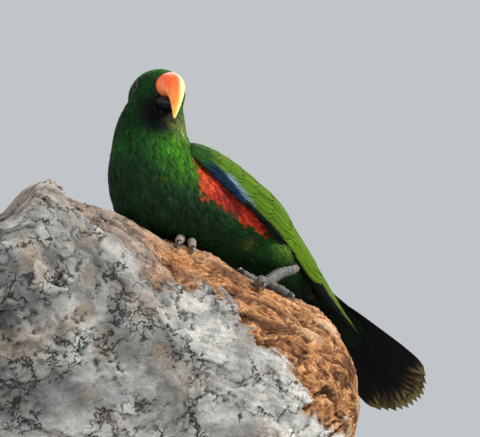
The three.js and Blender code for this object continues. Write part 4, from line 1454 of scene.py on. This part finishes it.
def curveThrough(points):
    # A smooth path through points, as a function of 0 to 1
    points = np.asarray(points, float)
    steps = np.concatenate([[0], np.cumsum(np.linalg.norm(np.diff(points, axis=0), axis=1))])
    rows = np.concatenate([(steps / steps[-1])[:, None], points], 1)
    return table(rows)


def roundedEnds(t):
    first, last = (np.clip(0.04 - t, 0, 1) / 0.04) ** 2, (np.clip(t - 0.97, 0, 1) / 0.03) ** 2
    return np.sqrt(np.clip(1 - first, 0, 1)) * np.sqrt(np.clip(1 - last, 0, 1))


def limbTube(name, points, radii, rings, around, scutes=0.0, scuteCount=0, tones=((1, 1, 1), (1, 1, 1)),
             material="scale"):
    # A rounded tube along points, with raised scutes over it and a tone that changes along it
    path = curveThrough(points)
    size = table([[i / (len(radii) - 1), r] for i, r in enumerate(radii)])
    tone = table([[i / (len(tones) - 1), *t] for i, t in enumerate(tones)])

    def scuteAt(t):
        return np.abs(np.sin(math.pi * scuteCount * t)) ** 0.5 if scuteCount else np.ones_like(t)

    def place(u, v):
        t = np.clip(v, 0, 1)
        centre = path(t)
        ahead = unit(path(np.clip(t + 0.01, 0, 1)) - path(np.clip(t - 0.01, 0, 1)))
        side = unit(limbNear - ahead * (ahead @ limbNear)[:, None])
        rise = np.cross(ahead, side)
        rise = rise * np.sign(np.sum(rise * limbTop, axis=1))[:, None]
        angle = 2 * math.pi * u
        ridge = scutes * scuteAt(t) * (0.4 + 0.6 * np.clip(np.sin(angle), 0, 1))
        radius = (size(t)[:, 0] + ridge) * roundedEnds(t)
        return centre + side * (np.cos(angle) * radius)[:, None] + rise * (np.sin(angle) * radius)[:, None]

    def tint(u, v, points):
        t = np.clip(v, 0, 1)
        return tone(t) * (0.4 + 0.6 * scuteAt(t))[:, None]

    mesh = sheetMesh(name, around, rings, place, tint=tint)
    mesh.materials.append(materials[material])
    piece = newObject(name, mesh)
    return piece


def footPoint(along, angle, lift):
    return limbPoint(np.array(float(along)), np.array(math.radians(angle)), lift)


def clawPlaces(foot, thick, before, end):
    # Along the line of the toe's last joint, from a little before its end to the claw's point
    aside = math.radians(end[1] - before[1]) * limb["radius"]
    away = np.array([end[0] - before[0], aside])
    length = np.linalg.norm(away)
    along0, angle0 = foot["middle"]
    places = []
    for further, lift in legs["clawSpots"]:
        turn = math.degrees(away[1] * further / length / limb["radius"])
        along = along0 + end[0] + away[0] * further / length
        places.append(footPoint(along, angle0 + end[1] + turn, thick * lift + 0.3))
    return places


def makeLegs():
    for sideName in ("left", "right"):
        foot, heel = legs[sideName], legs["heels"][sideName]
        along0, angle0 = foot["middle"]
        ankle = footPoint(along0, angle0, legs["pad"] + 0.3)
        middle = (heel + ankle) / 2 + np.array([0, 1, 2])
        start = heel + np.array([0, -4, 2.5])
        heelTone, toeTone = legs["tones"][sideName]
        shank = limbTube(f"leg_{sideName}", [start, heel, middle, ankle], [5.0, 5.5, 5.0, 5.4], 72, 28,
                         0.7, 12, (heelTone, toeTone, toeTone, toeTone))
        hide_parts(f"shank_{sideName}")
        for i, (name, thick, places) in enumerate(foot["toes"]):
            spots = [(0, 0, 1.2), *places]
            points = [footPoint(along0 + a, angle0 + b, thick * c + 0.3) for a, b, c in spots]
            radii = [share * thick for share in legs["toeRadii"]]
            toe = limbTube(f"toe_{sideName}_{name}", points, radii, 64, 22, 0.55, 9, (toeTone, toeTone))
            if i == 0:
                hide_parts(f"foot_{sideName}")
            clawSpots = clawPlaces(foot, thick, places[-2], places[-1])
            clawRadii = [thick * share for share in legs["clawRadii"]]
            claw = limbTube(f"nail_{sideName}_{name}", clawSpots, clawRadii, 32, 18, material="claw")
            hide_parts(f"claw_{sideName}_{name}")
    print("legs")


# Stand

stand = {"corner": 34, "edge": 1.6, "rodRadius": 7, "collar": 13, "collarHigh": 4}


def makeStandPlate():
    low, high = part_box("stand_base")
    bm = bmesh.new()
    bmesh.ops.create_cube(bm, size=1.0)
    middle, size = (low + high) / 2, high - low
    for vert in bm.verts:
        vert.co = Vector((vert.co.x * size.x, vert.co.y * size.y, vert.co.z * size.z)) + middle
    upright = [e for e in bm.edges if abs(e.verts[0].co.z - e.verts[1].co.z) > 0.001]
    bmesh.ops.bevel(bm, geom=upright, offset=stand["corner"] * mm, segments=14, profile=0.5,
                    affect="EDGES", material=-1)
    flat = [e for e in bm.edges if e.is_manifold and e.calc_face_angle(0) > 1.2]
    bmesh.ops.bevel(bm, geom=flat, offset=stand["edge"] * mm, segments=3, profile=0.5,
                    affect="EDGES", material=-1)
    for face in bm.faces:
        face.smooth = len(face.verts) == 4 and face.calc_area() < 2e-4
    mesh = bpy.data.meshes.new("stand_plate")
    bm.to_mesh(mesh)
    bm.free()
    mesh.materials.append(materials["stain"])
    plate = newObject("stand_plate", mesh)
    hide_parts("stand_base")


def makeStandRod(k):
    low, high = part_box(f"stand_rod_{k}")
    centre = (low + high) / 2
    radius, collar, rise = (stand[key] * mm for key in ("rodRadius", "collar", "collarHigh"))
    bm = bmesh.new()
    bmesh.ops.create_cone(bm, cap_ends=True, segments=40, radius1=radius, radius2=radius,
                          depth=high.z - low.z)
    bmesh.ops.translate(bm, verts=bm.verts, vec=centre)
    ring = bmesh.ops.create_cone(bm, cap_ends=True, segments=40, radius1=collar,
                                 radius2=collar - 1.2 * mm, depth=rise)["verts"]
    bmesh.ops.translate(bm, verts=ring, vec=Vector((centre.x, centre.y, low.z + rise / 2)))
    for face in bm.faces:
        face.smooth = len(face.verts) == 4
    mesh = bpy.data.meshes.new(f"stand_post_{k}")
    bm.to_mesh(mesh)
    bm.free()
    mesh.materials.append(materials["steel"])
    rod = newObject(mesh.name, mesh)
    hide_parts(f"stand_rod_{k}")


def makeStand():
    makeStandPlate()
    makeStandRod(1)
    makeStandRod(2)
    print("stand")


# Camera, lights and floor

camera = {"azimuth": 54, "elevation": -18, "distance": 1150, "lens": 90.8}
lights = {
    "key": {
        "azimuth": 122, "elevation": 36, "distance": 1500, "size": 420, "power": 36,
        "colour": (1, 0.95, 0.87),
    },
    "fill": {
        "azimuth": 20, "elevation": 10, "distance": 1700, "size": 1400, "power": 14,
        "colour": (0.92, 0.96, 1),
    },
    "top": {
        "azimuth": 235, "elevation": 62, "distance": 1500, "size": 900, "power": 16,
        "colour": (1, 1, 1),
    },
}
sky = {"colour": (0.86, 0.9, 0.94, 1), "strength": 0.62}
floorShape = {"radius": 6, "below": 0.0005}


def direction(azimuth, elevation):
    a, e = degrees(azimuth), degrees(elevation)
    return Vector((math.sin(a) * math.cos(e), -math.cos(a) * math.cos(e), math.sin(e)))


def makeCamera(target):
    data = bpy.data.cameras.new("camera")
    data.lens = camera["lens"]
    data.sensor_width = 36
    data.clip_start = 0.01
    data.clip_end = 50
    piece = bpy.data.objects.new("camera", data)
    bpy.context.scene.collection.objects.link(piece)
    back = direction(camera["azimuth"], camera["elevation"])
    piece.location = target + back * camera["distance"] * mm
    piece.rotation_euler = (-back).to_track_quat("-Z", "Y").to_euler()
    bpy.context.scene.camera = piece


def makeLights(target):
    for name, values in lights.items():
        lamp = bpy.data.lights.new(name, "AREA")
        lamp.shape = "DISK"
        lamp.size = values["size"] * mm
        lamp.energy = values["power"]
        lamp.color = values["colour"]
        holder = bpy.data.objects.new(name, lamp)
        way = direction(values["azimuth"], values["elevation"])
        holder.location = target + way * values["distance"] * mm
        holder.rotation_euler = way.to_track_quat("Z", "Y").to_euler()
        bpy.context.scene.collection.objects.link(holder)
    world = bpy.data.worlds.new("studio")
    world.use_nodes = True
    background = world.node_tree.nodes["Background"]
    background.inputs["Color"].default_value = sky["colour"]
    background.inputs["Strength"].default_value = sky["strength"]
    bpy.context.scene.world = world
    bpy.context.scene.view_settings.view_transform = "Standard"


def makeFloor():
    bm = bmesh.new()
    bmesh.ops.create_circle(bm, cap_ends=True, segments=64, radius=floorShape["radius"])
    bmesh.ops.translate(bm, verts=bm.verts, vec=Vector((0, 0, -floorShape["below"])))
    mesh = bpy.data.meshes.new("floor")
    bm.to_mesh(mesh)
    bm.free()
    mesh.materials.append(materials["floor"])
    floor = newObject("floor", mesh, body=None)


def makeStage():
    target = Vector(toWorld(np.zeros(3)))
    makeCamera(target)
    makeLights(target)
    makeFloor()
    print("stage")


makeMaterials()
makeStage()
skin = makeSkin()
skin.data.materials.clear()
skin.data.materials.append(materials["skin"])
makeContour(skin)
makeWing("left", 1)
makeWing("right", -1)
makeTail()
makeBill()
makeEyes()
makeLimb()
makeLegs()
makeStand()
